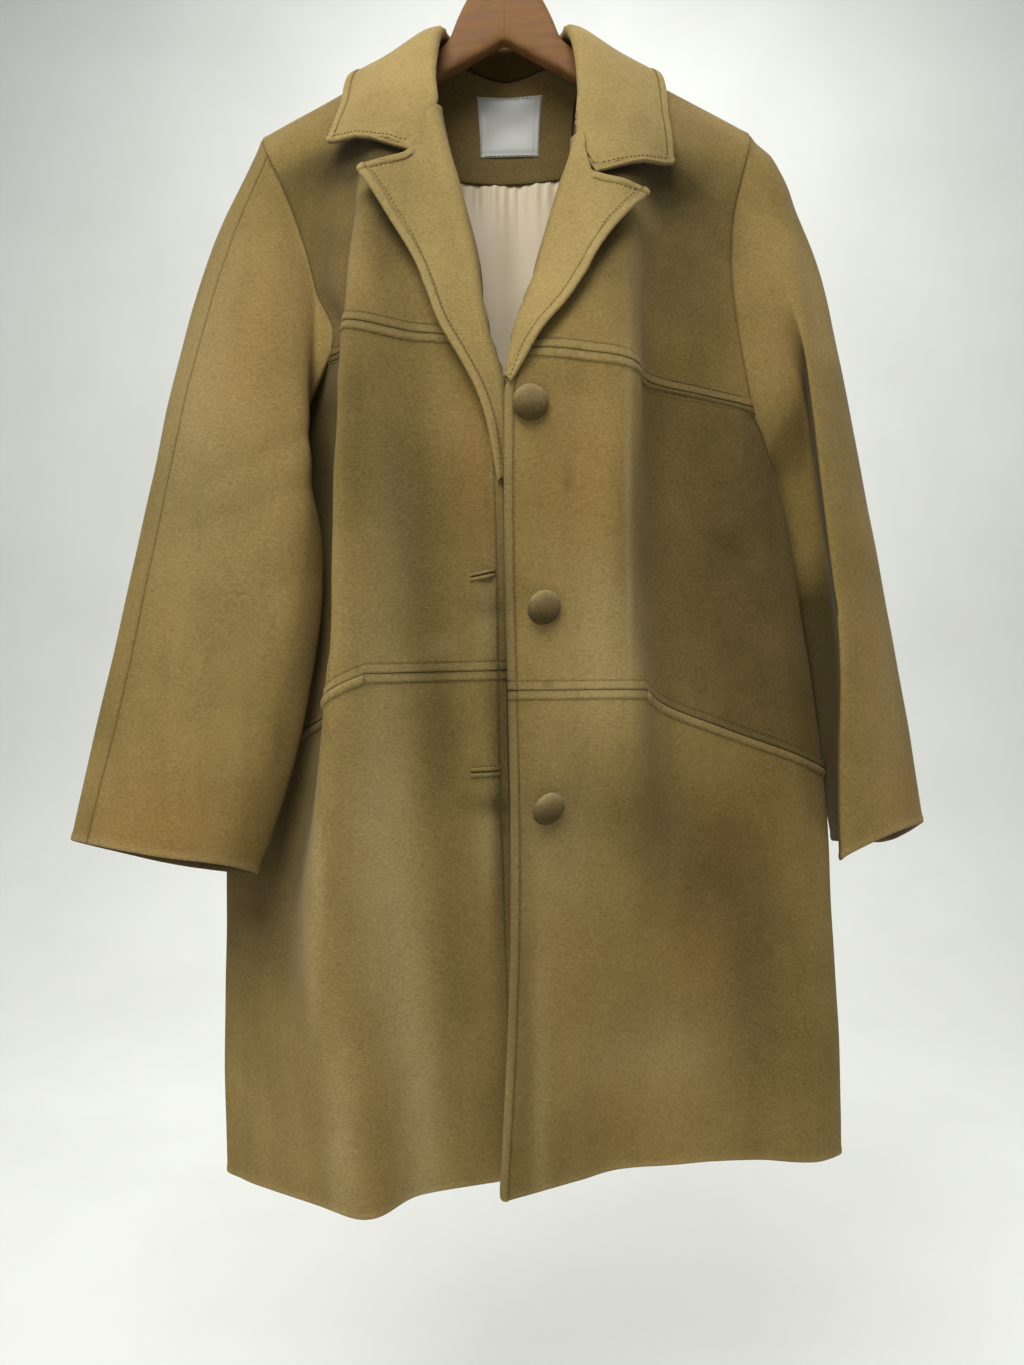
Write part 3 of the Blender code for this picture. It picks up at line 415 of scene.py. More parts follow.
class Skin:
    """A smooth sheet through rows of points: u runs across each row and v up the rows."""

    pinned = None

    def __init__(self, rows, u_knots, v_knots, facing, pinned=None):
        self.rows = rows
        self.u_knots = u_knots
        self.v_knots = v_knots
        self.facing = facing
        self.pinned = pinned

    def rows_at(self, u):
        return np.stack([smooth(self.u_knots, row, u) for row in self.rows])

    def __call__(self, u, v):
        u, v = np.broadcast_arrays(np.asarray(u, float), np.asarray(v, float))
        flat = smooth(self.v_knots, self.rows_at(u.ravel()), v.ravel(), self.pinned)
        return flat.reshape(u.shape + (3,))

    def across(self, u, v, step=0.002):
        return self(np.add(u, step), v) - self(np.subtract(u, step), v)

    def along(self, u, v, step=0.002):
        return self(u, np.add(v, step)) - self(u, np.subtract(v, step))

    def normal(self, u, v):
        return self.facing * unit(np.cross(self.across(u, v), self.along(u, v)))

    def lifted(self, u, v, lift):
        return self(u, v) + self.normal(u, v) * np.asarray(lift, float)[..., None]


class CorneredSkin(Skin):
    """A skin of even rows, some of which run straight from point to point beyond a place across."""

    def __init__(self, rows, u_knots, v_knots, facing, cornered, beyond):
        super().__init__(rows, u_knots, v_knots, facing)
        self.cornered = cornered
        self.beyond = beyond

    def rows_at(self, u):
        rows = []
        for row in self.rows:
            length = np.concatenate([[0.0], np.cumsum(np.linalg.norm(np.diff(row, axis=0), axis=1))])
            rows.append(smooth(length, row, np.interp(u, self.u_knots, length)))
        rows = np.stack(rows)
        for k in self.cornered:
            straight = np.column_stack([np.interp(u, self.u_knots, axis) for axis in self.rows[k].T])
            rows[k] = np.where((u > self.beyond)[:, None], straight, rows[k])
        return rows


def front_skin(table, side):
    """One front from hem to shoulder seam; a row and a column beyond its seams set its slopes there."""
    sign = 1 if side == "left" else -1
    rows = []
    for name, edge_z, side_z, *points in table:
        xy = np.array(points, float)
        share = (xy[:, 0] - xy[0, 0]) / (xy[-1, 0] - xy[0, 0])
        row = np.column_stack([xy, edge_z + (side_z - edge_z) * np.clip(share, 0, 1)])
        beyond = 2 * row[-1] - row[-2]
        if name in BODY_ROWS:
            beyond[0] = row[-2, 0]
        rows.append(np.vstack([row, beyond]))
    shares = np.append(list(FRONT_ACROSS.values()), FRONT_BEYOND)
    x = NECK_X + (SHOULDER_X - NECK_X) * shares
    rows.append(np.column_stack([sign * x, 0 * x, [shoulder_z(place) for place in x]]))
    past = rows[-2].copy()
    past[:, 1] *= -1
    rows.append(past)
    return Skin(np.array(rows) * MM, shares, ROW_HEIGHTS, sign, UNDERARM_ROW)


def both_sides(half, centre):
    """Points of a row from side to side: the half mirrored, the centre and the half."""
    return [(-x, y, z) for x, y, z in half] + [centre] + half[::-1]


def back_skin(left, right):
    """The back from side seam to side seam, on the fronts' side seams."""
    rows = []
    for name, blade_y, nape_y, centre_y in BACK_BODY:
        seams = [skin(1.0, ROW_UP[name]) / MM for skin in (right, left)]
        flanks = [skin(FRONT_ACROSS["flank"], ROW_UP[name]) / MM for skin in (right, left)]
        half = []
        for seam, flank in zip(seams, flanks):
            x, y, z = seam
            flank_y = 2 * y - flank[1]
            beyond = (flank[0], flank[1], z)
            points = [beyond, (x, y, z), (flank[0], flank_y, z)]
            for part, depth in ((BLADE_SHARE, blade_y), (NAPE_SHARE, nape_y), (NECK_SHARE, nape_y)):
                points.append((x * part, depth, z))
            half.append(points)
        middle = (seams[0] + seams[1]) / 2
        rows.append(half[0] + [(0.1 * middle[0], centre_y, middle[2])] + half[1][::-1])
    for name, arm, flank, blade, nape, neck, centre in BACK_UPPER:
        half = [tuple(2 * np.array(arm) - np.array(flank)), arm, flank, blade, nape, neck]
        rows.append(both_sides(half, (0, *centre)))
    half = [(place, 0, shoulder_z(place)) for place in BACK_SEAM_X]
    rows.append(both_sides(half, (0, BACK_NECK_Y, BACK_NECK_Z)))
    rows = [np.array(row, float) for row in rows]
    past = rows[-2] * (1, -1, 1)
    past[6] = 2 * rows[-1][6] - rows[-2][6]
    rows.append(past)
    shares = np.concatenate([[-BACK_ACROSS[1]], BACK_ACROSS, [1 + BACK_ACROSS[1]]])
    return Skin(np.array(rows) * MM, shares, ROW_HEIGHTS, -1, UNDERARM_ROW)


class Sleeve(Skin):
    """A sleeve from armhole to cuff: u runs round it from the underarm by way of the front, v along it."""

    def __init__(self, table, front, back, back_side, facing, back_drop):
        self.front = front
        self.back = back
        self.back_side = back_side
        self.facing = facing
        self.v_knots = [0.0] + [row[0] for row in table]
        self.rings = []
        for place, outer_z, inner_z, *points in table:
            xy = np.array(points, float)
            z = inner_z + (outer_z - inner_z) * np.array(RING_HEIGHT)
            ring = np.column_stack([xy, z]) * MM
            ring[RING_BACK, 2] -= back_drop * place**3
            self.rings.append(ring)

    def armhole(self, u):
        """Whether a place round the sleeve meets the front or the back, and at what height."""
        u = np.mod(u, 1.0)
        low, high = ROW_UP["underarm"], ROW_UP["shoulder"]
        on_front = u <= SHOULDER_AROUND
        rise = np.where(on_front, u / SHOULDER_AROUND, (1 - u) / (1 - SHOULDER_AROUND))
        return on_front, low + (high - low) * rise

    def armhole_points(self, u):
        on_front, v = self.armhole(u)
        return np.where(on_front[:, None], self.front(1.0, v), self.back(self.back_side, v))

    def armhole_normals(self, u):
        on_front, v = self.armhole(u)
        v = np.minimum(v, ROW_UP["shoulder"] - 0.0005)
        return np.where(on_front[:, None], self.front.normal(1.0, v), self.back.normal(self.back_side, v))

    def rows_at(self, u):
        rows = [self.armhole_points(u)]
        for ring in self.rings:
            chords = np.linalg.norm(np.roll(ring, -1, axis=0) - ring, axis=1)
            length = np.concatenate([[0.0], np.cumsum(chords)])
            at = np.interp(np.mod(u, 1.0), [*RING_AROUND, 1.0], length)
            knots = np.concatenate([length[:-1] - length[-1], length[:-1], length[:-1] + length[-1]])
            rows.append(smooth(knots, np.concatenate([ring, ring, ring]), at))
        return np.stack(rows)


def hip_seam(u, side):
    corner = HIP_CORNER[side]
    return ROW_UP["hip"] - HIP_SLANT_DROP * np.clip((u - corner) / (1 - corner), 0, None)


def level(height):
    """An edge of a panel at one height."""
    return lambda u: 0 * u + height


# Distances from an edge at which the cloth has points, close together where it rolls over
# and at the topstitching
STITCH_IN = 7.0 * MM
NEAR_STITCHED = np.array([0, 0.25, 0.7, 1.4, 2.3, 3.4, 4.7, 5.8, 6.4, 7.0, 7.6, 8.2, 9.3, 11.0, 13.5]) * MM
NEAR_PLAIN = np.array([0, 0.25, 0.7, 1.4, 2.4, 4.0, 6.5, 9.5]) * MM
NEAR_EDGE = {"lapped": NEAR_STITCHED, "turned": NEAR_PLAIN, "plain": NEAR_PLAIN}
STITCH_ROW = 9
CLOTH_STEP = 4.2 * MM
PACE_STEP = 0.004

# Edges, millimetres: height of the puffed edge, its width, depth of the stitched groove, radius,
# added thickness
EDGE_FORMS = {
    "turned": (0.6, 5.0, 0.0, 2.0, 1.2),
    "stitched": (1.0, 6.3, 0.9, 2.1, 1.4),
    "lapped": (1.0, 6.3, 0.8, 1.7, 0.0),
    "plain": (0.3, 4.0, 0.0, 1.6, 0.0),
    "seamed": (0.9, 5.0, 0.0, 2.4, 0.0),
}
GROOVE_HALF = 0.75 * MM
FULL_GROOVE = 0.8 * MM
# Reach of the painted shade along seams
SEAM_SHADE = 0.9 * MM
WORN_IN = 2.5 * MM

# Height of the cloth's slow unevenness
RIPPLE_BROAD = 0.7 * MM
RIPPLE_SMALL = 0.22 * MM

# Soft creases, millimetres: x and z of both ends, depth of the trough (negative for a ridge)
# and its half width
FRONT_CREASES = (
    (-121, -300, -124, -400, 4.0, 7),
    (-112, -300, -117, -420, -1.6, 5),
    (-126, -470, -128, -640, 2.0, 6),
    (-22, -560, -15, -598, 1.8, 5),
    (-30, -470, -20, -560, 1.2, 14),
    (-15, -470, -14, -680, 0.7, 2.5),
    (-20, -600, -17, -690, 0.6, 3),
    (-62, -690, -70, -1010, 2.4, 26),
    (-100, -720, -104, -1030, -1.8, 22),
    (-40, -640, -100, -625, 0.9, 16),
    (62, -690, 60, -1030, 2.2, 28),
    (120, -800, 132, -1040, -2.0, 26),
    (185, -830, 196, -1040, 2.0, 24),
    (128, -752, 176, -790, 1.6, 11),
    (70, -480, 64, -640, 1.2, 22),
    (140, -470, 150, -600, 1.4, 24),
    (128, -230, 150, -330, 1.2, 20),
)
SLEEVE_CREASES = (
    (-150, -480, -214, -512, 1.5, 9),
    (-152, -520, -225, -556, 1.3, 10),
    (-165, -590, -240, -610, 0.9, 14),
    (-250, -560, -285, -690, 1.4, 18),
    (-205, -330, -228, -470, 1.3, 20),
    (-262, -700, -292, -775, -1.2, 18),
    (236, -280, 247, -390, 1.8, 8),
    (262, -420, 280, -560, -1.2, 12),
    (276, -590, 292, -700, 1.2, 12),
    (218, -530, 247, -612, 1.4, 3),
)
BACK_CREASES = (
    (-120, -480, -60, -560, 2.0, 16),
    (130, -470, 70, -560, 2.0, 16),
    (-34, -600, -40, -1040, -4.5, 26),
    (62, -640, 72, -1040, -5.0, 28),
    (-140, -640, -152, -1040, -4.5, 26),
    (152, -680, 164, -1040, -4.5, 24),
    (-104, -250, -132, -430, -3.0, 20),
    (108, -250, 136, -430, -3.0, 20),
    (-60, -330, -20, -480, -1.8, 22),
)

# Stains and wear on the front, with painted shade in recesses and painted highlights along ridges and
# creases among them; millimetres: kind, x, z, half width, half height, strength
PATCHES = (
    ("dark", -62, -600, 26, 110, 0.55),
    ("dark", -50, -716, 22, 60, 0.45),
    ("dark", -46, -860, 22, 110, 0.48),
    ("dark", -80, -505, 26, 90, 0.36),
    # Painted shade on the side of the left front beyond its crease
    ("dark", 176, -560, 50, 120, 0.30),
    ("dark", 86, -760, 60, 40, 0.45),
    ("dark", 150, -820, 50, 46, 0.40),
    ("dark", 136, -300, 50, 90, 0.55),
    ("dark", -76, -300, 30, 60, 0.25),
    # Painted shade in the recess beside the right sleeve
    ("dark", -200, -840, 40, 60, 0.30),
    ("dark", -112, -480, 12, 80, 0.25),
    ("dark", 200, -900, 50, 160, 0.62),
    ("dark", 8, -930, 10, 150, 0.40),
    ("dark", -9, -650, 8, 130, 0.60),
    ("dark", -10, -790, 6, 110, 0.50),
    ("dark", -3, -760, 5, 240, 0.30),
    ("dark", -20, -612, 12, 10, 0.40),
    ("dark", -20, -756, 14, 8, 0.40),
    ("warm", 178, -800, 44, 60, 0.60),
    ("warm", 150, -880, 40, 60, 0.45),
    ("warm", 96, -1000, 60, 46, 0.40),
    ("warm", -24, -520, 12, 60, 0.55),
    ("warm", 46, -520, 30, 50, 0.40),
    ("warm", -255, -780, 60, 40, 0.55),
    ("warm", 276, -640, 14, 110, 0.50),
    ("warm", 300, -760, 20, 34, 0.60),
    ("warm", -120, -950, 40, 80, 0.30),
    ("warm", 40, -880, 30, 60, 0.30),
    ("warm", -200, -420, 36, 60, 0.30),
    ("pale", -16, -615, 8, 26, 0.75),
    ("pale", -14, -780, 12, 34, 0.65),
    ("pale", -52, -640, 10, 8, 0.55),
    # Painted highlight along the crest of the left front's crease
    ("pale", 87, -545, 2.6, 130, 0.50),
    ("pale", -222, -500, 60, 150, 0.16),
    ("dark", -222, -510, 60, 150, 0.10),
    ("pale", 286, -690, 18, 80, 0.22),
    ("dark", 42, -520, 3, 10, 0.35),
    ("dark", 26, -668, 3, 3, 0.40),
    ("pale", 70, -640, 30, 60, 0.35),
    ("pale", -84, -580, 14, 90, 0.40),
    ("pale", -92, -800, 20, 130, 0.60),
    ("pale", -72, -980, 16, 110, 0.60),
    # Painted highlights along the right front's ridge, in this and the next two rows
    ("pale", -139, -795, 5, 50, 0.55),
    ("pale", -147, -865, 6, 50, 0.50),
    ("pale", -128, -1000, 12, 80, 0.45),
    ("pale", 18, -1000, 6, 170, 0.40),
    ("pale", 120, -960, 60, 40, 0.30),
    ("pale", 40, -780, 26, 60, 0.35),
    ("pale", -240, -420, 30, 120, 0.25),
)

# Painted shade on the yokes under collar and lapels, in the same columns
UNDER_COLLAR = (
    ("dark", -112, -256, 34, 17, 1.1),
    ("dark", 112, -272, 32, 20, 1.1),
    ("dark", -88, -330, 16, 60, 0.6),
    ("dark", 74, -335, 16, 50, 0.6),
)

# Painted shade on the part of a panel beyond a crease, which turns away from the light: share across where
# it starts, its soft width, its strength, and the height where it is nil and the distance up from there to
# where it is full
SIDE_SHADE = {
    ("right", "yoke"): (0.53, 0.04, 0.62, 0.86, -0.03),
    ("right", "mid"): (0.52, 0.05, 0.80, 0.0, 0.1),
    ("right", "lower"): (0.51, 0.10, 0.75, 0.05, 0.26),
    ("left", "yoke"): (0.53, 0.08, 0.20, 0.86, -0.03),
    ("left", "mid"): (0.505, 0.11, 0.50, 0.0, 0.1),
}

# Stitches: length, distance from one to the next, and places along one with its rise and girth there
STITCH_LONG = 2.7 * MM
STITCH_PITCH = 3.6 * MM
THREAD_RADIUS = 0.36 * MM
THREAD_TURNS = 6
STITCH_AT = STITCH_LONG * np.array([0, 0.18, 0.5, 0.82, 1.0])
STITCH_RISE = THREAD_RADIUS * np.array([-0.6, 0.5, 0.9, 0.5, -0.6])
STITCH_GIRTH = THREAD_RADIUS * np.array([0.5, 0.95, 1.0, 0.95, 0.5])


def eased(x):
    x = np.clip(x, 0, 1)
    return x * x * (3 - 2 * x)


def lapel_places(side, t, w):
    """Share across, height and lift of the lapel for t down from the gorge and w out from the roll line."""
    table = np.array(LAPEL_EDGE[side])
    flat = smooth(np.linspace(0, 1, len(table)), table, np.ravel(t))
    edge_u, edge_v, roll_v, lift = (flat[:, k].reshape(np.shape(t)) for k in range(4))
    deep = np.interp(w, [0, NOTCH_ACROSS[side], 1], [0, 1, 0])
    sag = NOTCH_SAG[side] * deep * np.clip(1 - 4 * t, 0, 1)
    u = edge_u * w
    v = roll_v + (edge_v - roll_v) * w - sag
    return u, v, LAPEL_BASE_LIFT + (lift * MM - LAPEL_BASE_LIFT) * np.clip(w, 0, 1) ** 1.2


def collar_end(skin, side):
    """Points of the collar's end, tucked under the lapel's top edge, then free and out to its tip."""
    gorge = np.array([0.0, 0.03, NOTCH_ACROSS[side] / 2, NOTCH_ACROSS[side]])
    u, v, lift = lapel_places(side, np.zeros(4), gorge)
    v = v + COLLAR_END_UP[side]
    out = -unit(skin.across(0.01, v[0]))
    seam = skin(0.0, v[0]) + out * STAND_RISE
    roll = skin(0.0, v[0]) + out * COLLAR_REACH
    tip_u, tip_v, tip_lift = COLLAR_TIP[side]
    share = (np.array(COLLAR_COLUMNS[6:]) - COLLAR_COLUMNS[5]) / (1 - COLLAR_COLUMNS[5])
    u = np.append(u[1:], u[3] + (tip_u - u[3]) * share)
    v = np.append(v[1:], v[3] + (tip_v - v[3]) * share)
    lift = np.append(lift[1:], lift[3] + (tip_lift * MM - lift[3]) * share)
    return np.vstack([seam, (seam + roll) / 2, roll, skin.lifted(u, v, lift - COLLAR_SINK)])


def collar_seam(left, right, back, s):
    """The neckline the stand is sewn to, from the right gorge round the back to the left gorge."""
    if COLLAR_SHOULDER < s < 1 - COLLAR_SHOULDER:
        share = (s - COLLAR_SHOULDER) / (1 - 2 * COLLAR_SHOULDER)
        u = BACK_ACROSS[4] + (BACK_ACROSS[6] - BACK_ACROSS[4]) * share
        return back(u, ROW_UP["shoulder"]) + np.array([0, 0, STAND_RISE])
    skin = right if s <= COLLAR_SHOULDER else left
    share = min(s, 1 - s) / COLLAR_SHOULDER
    low = LAPEL_EDGE["left"][0][2] + COLLAR_END_UP["left"][0]
    v = low + (ROW_UP["shoulder"] - low) * share
    out = -unit(skin.across(0.0, v))
    return skin(0.0, v) + out * STAND_RISE


def collar_fold(seam, roll, fall, edge):
    """Points of a section of the collar, with a round fold at the roll."""
    rise = unit(roll - seam)
    across = unit((fall - seam) - np.dot(fall - seam, rise) * rise)
    stand_end = roll - rise * COLLAR_ROLL_RADIUS
    top = roll + across * COLLAR_ROLL_RADIUS
    return np.array([seam, stand_end, top, stand_end + across * 2 * COLLAR_ROLL_RADIUS, fall, edge])


def collar_skin(left, right, back):
    rows = [collar_end(right, "right")]
    for s, *points in COLLAR_STATIONS:
        roll, fall, edge = np.array(points) * MM
        named = collar_fold(collar_seam(left, right, back, s), roll, fall, edge)
        rows.append(smooth(COLLAR_ACROSS, named, np.array(COLLAR_COLUMNS)))
    rows.append(collar_end(left, "left"))
    places = [0.0] + [station[0] for station in COLLAR_STATIONS] + [1.0]
    return CorneredSkin(np.array(rows), COLLAR_COLUMNS, places, -1, (0, -1), COLLAR_COLUMNS[3])


def lapel_skin(skin, side):
    """The lapel from inside the front edge, round the roll line and out to its edge; u across and v down."""
    t = np.linspace(0, 1, 21)[:, None]
    notch = NOTCH_ACROSS[side]
    w = np.concatenate([[0.03, notch / 2], np.linspace(notch, 1, 4)])[None, :]
    u, v, lift = lapel_places(side, *np.broadcast_arrays(t, w))
    v = v + GORGE_UP * eased(3 - 3 * w / notch) * np.clip(1 - 6 * t, 0, 1)
    ending = eased((1 - t) / 0.16)
    turned = skin.lifted(u, v, lift * (0.35 + 0.65 * ending))
    roll_v = lapel_places(side, t, 0 * t)[1]
    out = -unit(skin.across(0 * roll_v + 0.01, roll_v))
    reach = BREAK_REACH + (ROLL_REACH - BREAK_REACH) * ending
    apex = skin(0 * roll_v, roll_v) + out * reach[..., None]
    inside_u = np.broadcast_to(np.array([FACING_ACROSS, 0.012]), (len(t), 2))
    depth = np.full(inside_u.shape, -(WALL + LAPEL_BASE_LIFT))
    inside = skin.lifted(inside_u, np.broadcast_to(roll_v, inside_u.shape), depth)
    rows = np.concatenate([inside, apex, turned], axis=1)
    columns = [LAPEL_INSIDE, -0.05, 0.0, 0.05, notch / 2, *np.linspace(notch, 1, 4)]
    facing = -1 if side == "left" else 1
    return CorneredSkin(rows, columns, t[:, 0], facing, (0, 1, 2, 3, 4, 5), notch / 2)


def grid_on(skin, ends, low, high, near, counts):
    """Places u and v on a skin, close together at its edges.

    ends are the first and last u, low and high give the v edges for a u, near the distances from the
    left, right, low and high edge, and counts the columns and rows between those.
    """
    left, right, bottom, top = near
    columns = len(left) + counts[0] + len(right)
    rows = len(bottom) + counts[1] + len(top)
    height = np.linspace(0, 1, rows)
    reach = []
    for end, sign, gaps in ((ends[0], 1, left), (ends[1], -1, right)):
        inside = end + sign * PACE_STEP
        v = low(inside) + (high(inside) - low(inside)) * height
        pace = np.linalg.norm(skin.across(np.full(rows, inside), v), axis=1) / PACE_STEP
        reach.append(gaps[None, :] / pace[:, None])
    squeeze = np.minimum(1, 0.7 * (ends[1] - ends[0]) / (reach[0][:, -1:] + reach[1][:, -1:]))
    across = [ends[0] + reach[0] * squeeze, ends[1] - reach[1] * squeeze]
    share = np.linspace(0, 1, counts[0] + 2)[None, 1:-1]
    middle = across[0][:, -1:] * (1 - share) + across[1][:, -1:] * share
    u = np.concatenate([across[0], middle, across[1][:, ::-1]], axis=1)
    v = np.empty((rows, columns))
    low_v, high_v = low(u), high(u)
    low_pace = np.linalg.norm(skin.along(u, low_v + PACE_STEP), axis=2) / PACE_STEP
    high_pace = np.linalg.norm(skin.along(u, high_v - PACE_STEP), axis=2) / PACE_STEP
    squeeze = np.minimum(1, 0.7 * (high_v - low_v) / (bottom[-1] / low_pace + top[-1] / high_pace))
    low_pace, high_pace = low_pace / squeeze, high_pace / squeeze
    first, last = len(bottom), rows - len(top)
    v[:first] = low_v[:first] + bottom[:, None] / low_pace[:first]
    v[last:] = high_v[last:] - top[::-1, None] / high_pace[last:]
    share = np.linspace(0, 1, counts[1] + 2)[1:-1, None]
    start = low_v[first:last] + bottom[-1] / low_pace[first:last]
    stop = high_v[first:last] - top[-1] / high_pace[first:last]
    v[first:last] = start * (1 - share) + stop * share
    return u, v


def steps_for(length):
    return max(3, int(round(length / CLOTH_STEP)))


def edge_distances(points):
    """Distance over the cloth of every grid point from the left, right, low and high edge."""
    out = []
    for axis in (1, 0):
        parts = np.linalg.norm(np.diff(points, axis=axis), axis=2)
        walk = np.cumsum(parts, axis=axis)
        zero = np.zeros_like(walk[:, :1] if axis == 1 else walk[:1])
        walk = np.concatenate([zero, walk], axis=axis)
        end = walk[:, -1:] if axis == 1 else walk[-1:]
        out += [walk, end - walk]
    return out


def ripple(points):
    """Slow unevenness of the cloth."""
    x, y, z = points[..., 0], points[..., 1], points[..., 2]
    broad = np.sin(24 * x + 9 * z + 6 * y + 0.6) * np.sin(19 * z - 13 * x + 1.7)
    small = np.sin(66 * x - 31 * z + 1.1) * np.sin(52 * z + 37 * x + 20 * y)
    return RIPPLE_BROAD * broad + RIPPLE_SMALL * small


def crease_depth(points, creases):
    x, z = points[..., 0] / MM, points[..., 2] / MM
    depth = np.zeros(x.shape)
    for x0, z0, x1, z1, deep, half in creases:
        long = np.hypot(x1 - x0, z1 - z0)
        along = ((x - x0) * (x1 - x0) + (z - z0) * (z1 - z0)) / long
        bend = 0.12 * half * np.sin(along / (1.7 * half))
        aside = ((x - x0) * (z1 - z0) - (z - z0) * (x1 - x0)) / long + bend
        past = np.maximum(np.abs(along - long / 2) - long / 2, 0)
        depth += deep * MM * np.exp(-((aside / half) ** 2) - (past / (2.2 * half)) ** 2)
    return depth


def marks_and_shade_of(points, normals, groove, rim, stains_and_shade):
    """Share of dark, warm and pale for each point: marks of stain and wear that face forward, with painted
    shade and painted highlights among them, painted shade in grooves and along seams, and pale rims.
    """
    x, z = points[..., 0] / MM, points[..., 2] / MM
    front = eased(0.5 - 1.6 * normals[..., 1])
    shares = {"dark": 0.45 * groove, "warm": np.zeros(x.shape), "pale": 0.30 * rim}
    for kind, px, pz, half_x, half_z, strength in stains_and_shade:
        spread = ((x - px) / half_x) ** 2 + ((z - pz) / half_z) ** 2
        shares[kind] = shares[kind] + front * strength * np.exp(-0.9 * spread)
    stack = np.stack([shares["dark"], shares["warm"], shares["pale"]], axis=-1)
    return np.clip(stack, 0, 1.4)


def grid_faces(places):
    """Quads of a grid of point numbers."""
    corners = (places[:-1, :-1], places[:-1, 1:], places[1:, 1:], places[1:, :-1])
    return np.column_stack([corner.ravel() for corner in corners])


def tube_faces(rings, turns):
    """Quads between rings of points in order, and a face on both ends."""
    places = np.arange(rings * turns).reshape(rings, turns)
    joined = np.column_stack([places, places[:, 0]])
    return grid_faces(joined).tolist() + [places[0, ::-1].tolist(), places[-1].tolist()]


def circle(turns):
    return np.linspace(0, 2 * np.pi, turns, endpoint=False)


def new_mesh(name, points, faces):
    """A mesh with smooth shading."""
    mesh = bpy.data.meshes.new(name)
    mesh.from_pydata(np.asarray(points).tolist(), [], faces)
    mesh.polygons.foreach_set("use_smooth", np.ones(len(faces), dtype=bool))
    return mesh


def shell_mesh(name, outer, inner):
    """A closed sheet between two grids; its inner side has the second material."""
    rows, columns = outer.shape[:2]
    count = rows * columns
    places = np.arange(count).reshape(rows, columns)
    rim = np.concatenate([places[0], places[1:, -1], places[-1, -2::-1], places[-2:0:-1, 0]])
    ahead = np.roll(rim, -1)
    sides = np.column_stack([ahead, rim, rim + count, ahead + count])
    faces = np.concatenate([grid_faces(places), grid_faces(places + count)[:, ::-1], sides])
    mesh = new_mesh(name, np.concatenate([outer.reshape(-1, 3), inner.reshape(-1, 3)]), faces.tolist())
    face_normal = np.cross(outer[:-1, 1:] - outer[:-1, :-1], outer[1:, :-1] - outer[:-1, :-1])
    if np.sum(face_normal * (inner - outer)[:-1, :-1]) > 0:
        mesh.flip_normals()
    quads = (rows - 1) * (columns - 1)
    side = np.zeros(len(faces), dtype=np.int32)
    side[quads : 2 * quads] = 1
    mesh.polygons.foreach_set("material_index", side)
    return mesh


def paint(mesh, shares):
    """Stores dark, warm and pale shares on a mesh's points."""
    layer = mesh.color_attributes.new("stain_wear_and_shade", "FLOAT_COLOR", "POINT")
    colour = np.ones((len(mesh.vertices), 4), dtype=np.float32)
    colour[:, :3] = shares
    layer.data.foreach_set("color", colour.ravel())


def place(name, mesh, materials, slot, *nodes):
    """Puts a piece in the scene, on the coat's one body, in place of its solids."""
    piece = bpy.data.objects.new(name, mesh)
    bpy.context.scene.collection.objects.link(piece)
    for material in materials:
        piece.data.materials.append(material)
    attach(piece, "root")
    if nodes:
        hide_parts(*nodes)
    return piece


def rounded(base, corners):
    """Grid with some of its corners rounded; each is named by its two edges and has a radius."""
    across = unit(np.gradient(base, axis=1))
    up = unit(np.gradient(base, axis=0))
    outward = (-across, across, -up, up)
    distances = edge_distances(base)
    for one, other, radius in corners:
        a = np.clip(radius - distances[one], 0, None)
        b = np.clip(radius - distances[other], 0, None)
        shrink = 1 - np.maximum(a, b) / np.maximum(np.hypot(a, b), 1e-9)
        base = base - outward[one] * (a * shrink)[..., None] - outward[other] * (b * shrink)[..., None]
    return base


def cloth(skin, u, v, kinds, wall, lift=0.0, creases=(), relief=0.0, fix=0.0, corners=(), stains_and_shade=()):
    """Outer and inner points of a sheet, its normals, and its shares of stain, wear, painted shade and
    painted highlight.

    Its edges are rolled, its seams grooved and its creases pressed in. kinds names the form of the left,
    right, low and high edge; two forms with a share between them change from one to the other along it.
    """
    base = rounded(skin(u, v) + fix, corners)
    normals = skin.normal(u, v)
    height = lift + ripple(base) - crease_depth(base, creases) + relief
    roundness = np.ones(u.shape)
    extra, groove, rim = np.zeros((3, *u.shape))
    for kind, distance in zip(kinds, edge_distances(base)):
        if kind is None:
            continue
        first, second, share = (kind, kind, 0.0) if isinstance(kind, str) else kind
        forms = [a * (1 - share) + b * share for a, b in zip(EDGE_FORMS[first], EDGE_FORMS[second])]
        puff, reach, deep, radius, more = (value * MM for value in forms)
        near = eased((1.45 * reach - distance) / (0.45 * reach))
        pressed = np.exp(-(((distance - STITCH_IN) / GROOVE_HALF) ** 2))
        height = height + puff * near - deep * pressed
        roundness = roundness * np.sqrt(1 - (1 - np.clip(distance / radius, 0, 1)) ** 2)
        extra = np.maximum(extra, more * near)
        # Painted shade in the stitched grooves and along the seams
        groove = np.maximum(groove, pressed * np.minimum(deep / FULL_GROOVE, 1))
        sewn = np.clip(1 - more / MM, 0, 1)
        groove = np.maximum(groove, (0.5 + puff / MM) * sewn * np.exp(-distance / SEAM_SHADE))
        worn = np.exp(-(((distance - WORN_IN) / WORN_IN) ** 2))
        rim = np.maximum(rim, worn * np.minimum(np.maximum(deep, more) / FULL_GROOVE, 1))
    thick = wall + extra
    half = thick / 2 * (0.06 + 0.94 * roundness)
    middle = height - thick / 2
    outer = base + normals * (middle + half)[..., None]
    inner = base + normals * (middle - half)[..., None]
    return outer, inner, normals, marks_and_shade_of(base, normals, groove, rim, PATCHES + stains_and_shade)


def turned_in(made):
    """A sheet seen from inside the coat, with no stain, wear or painted shade on it."""
    outer, inner, normals, shares = made
    return inner, outer, -normals, 0 * shares


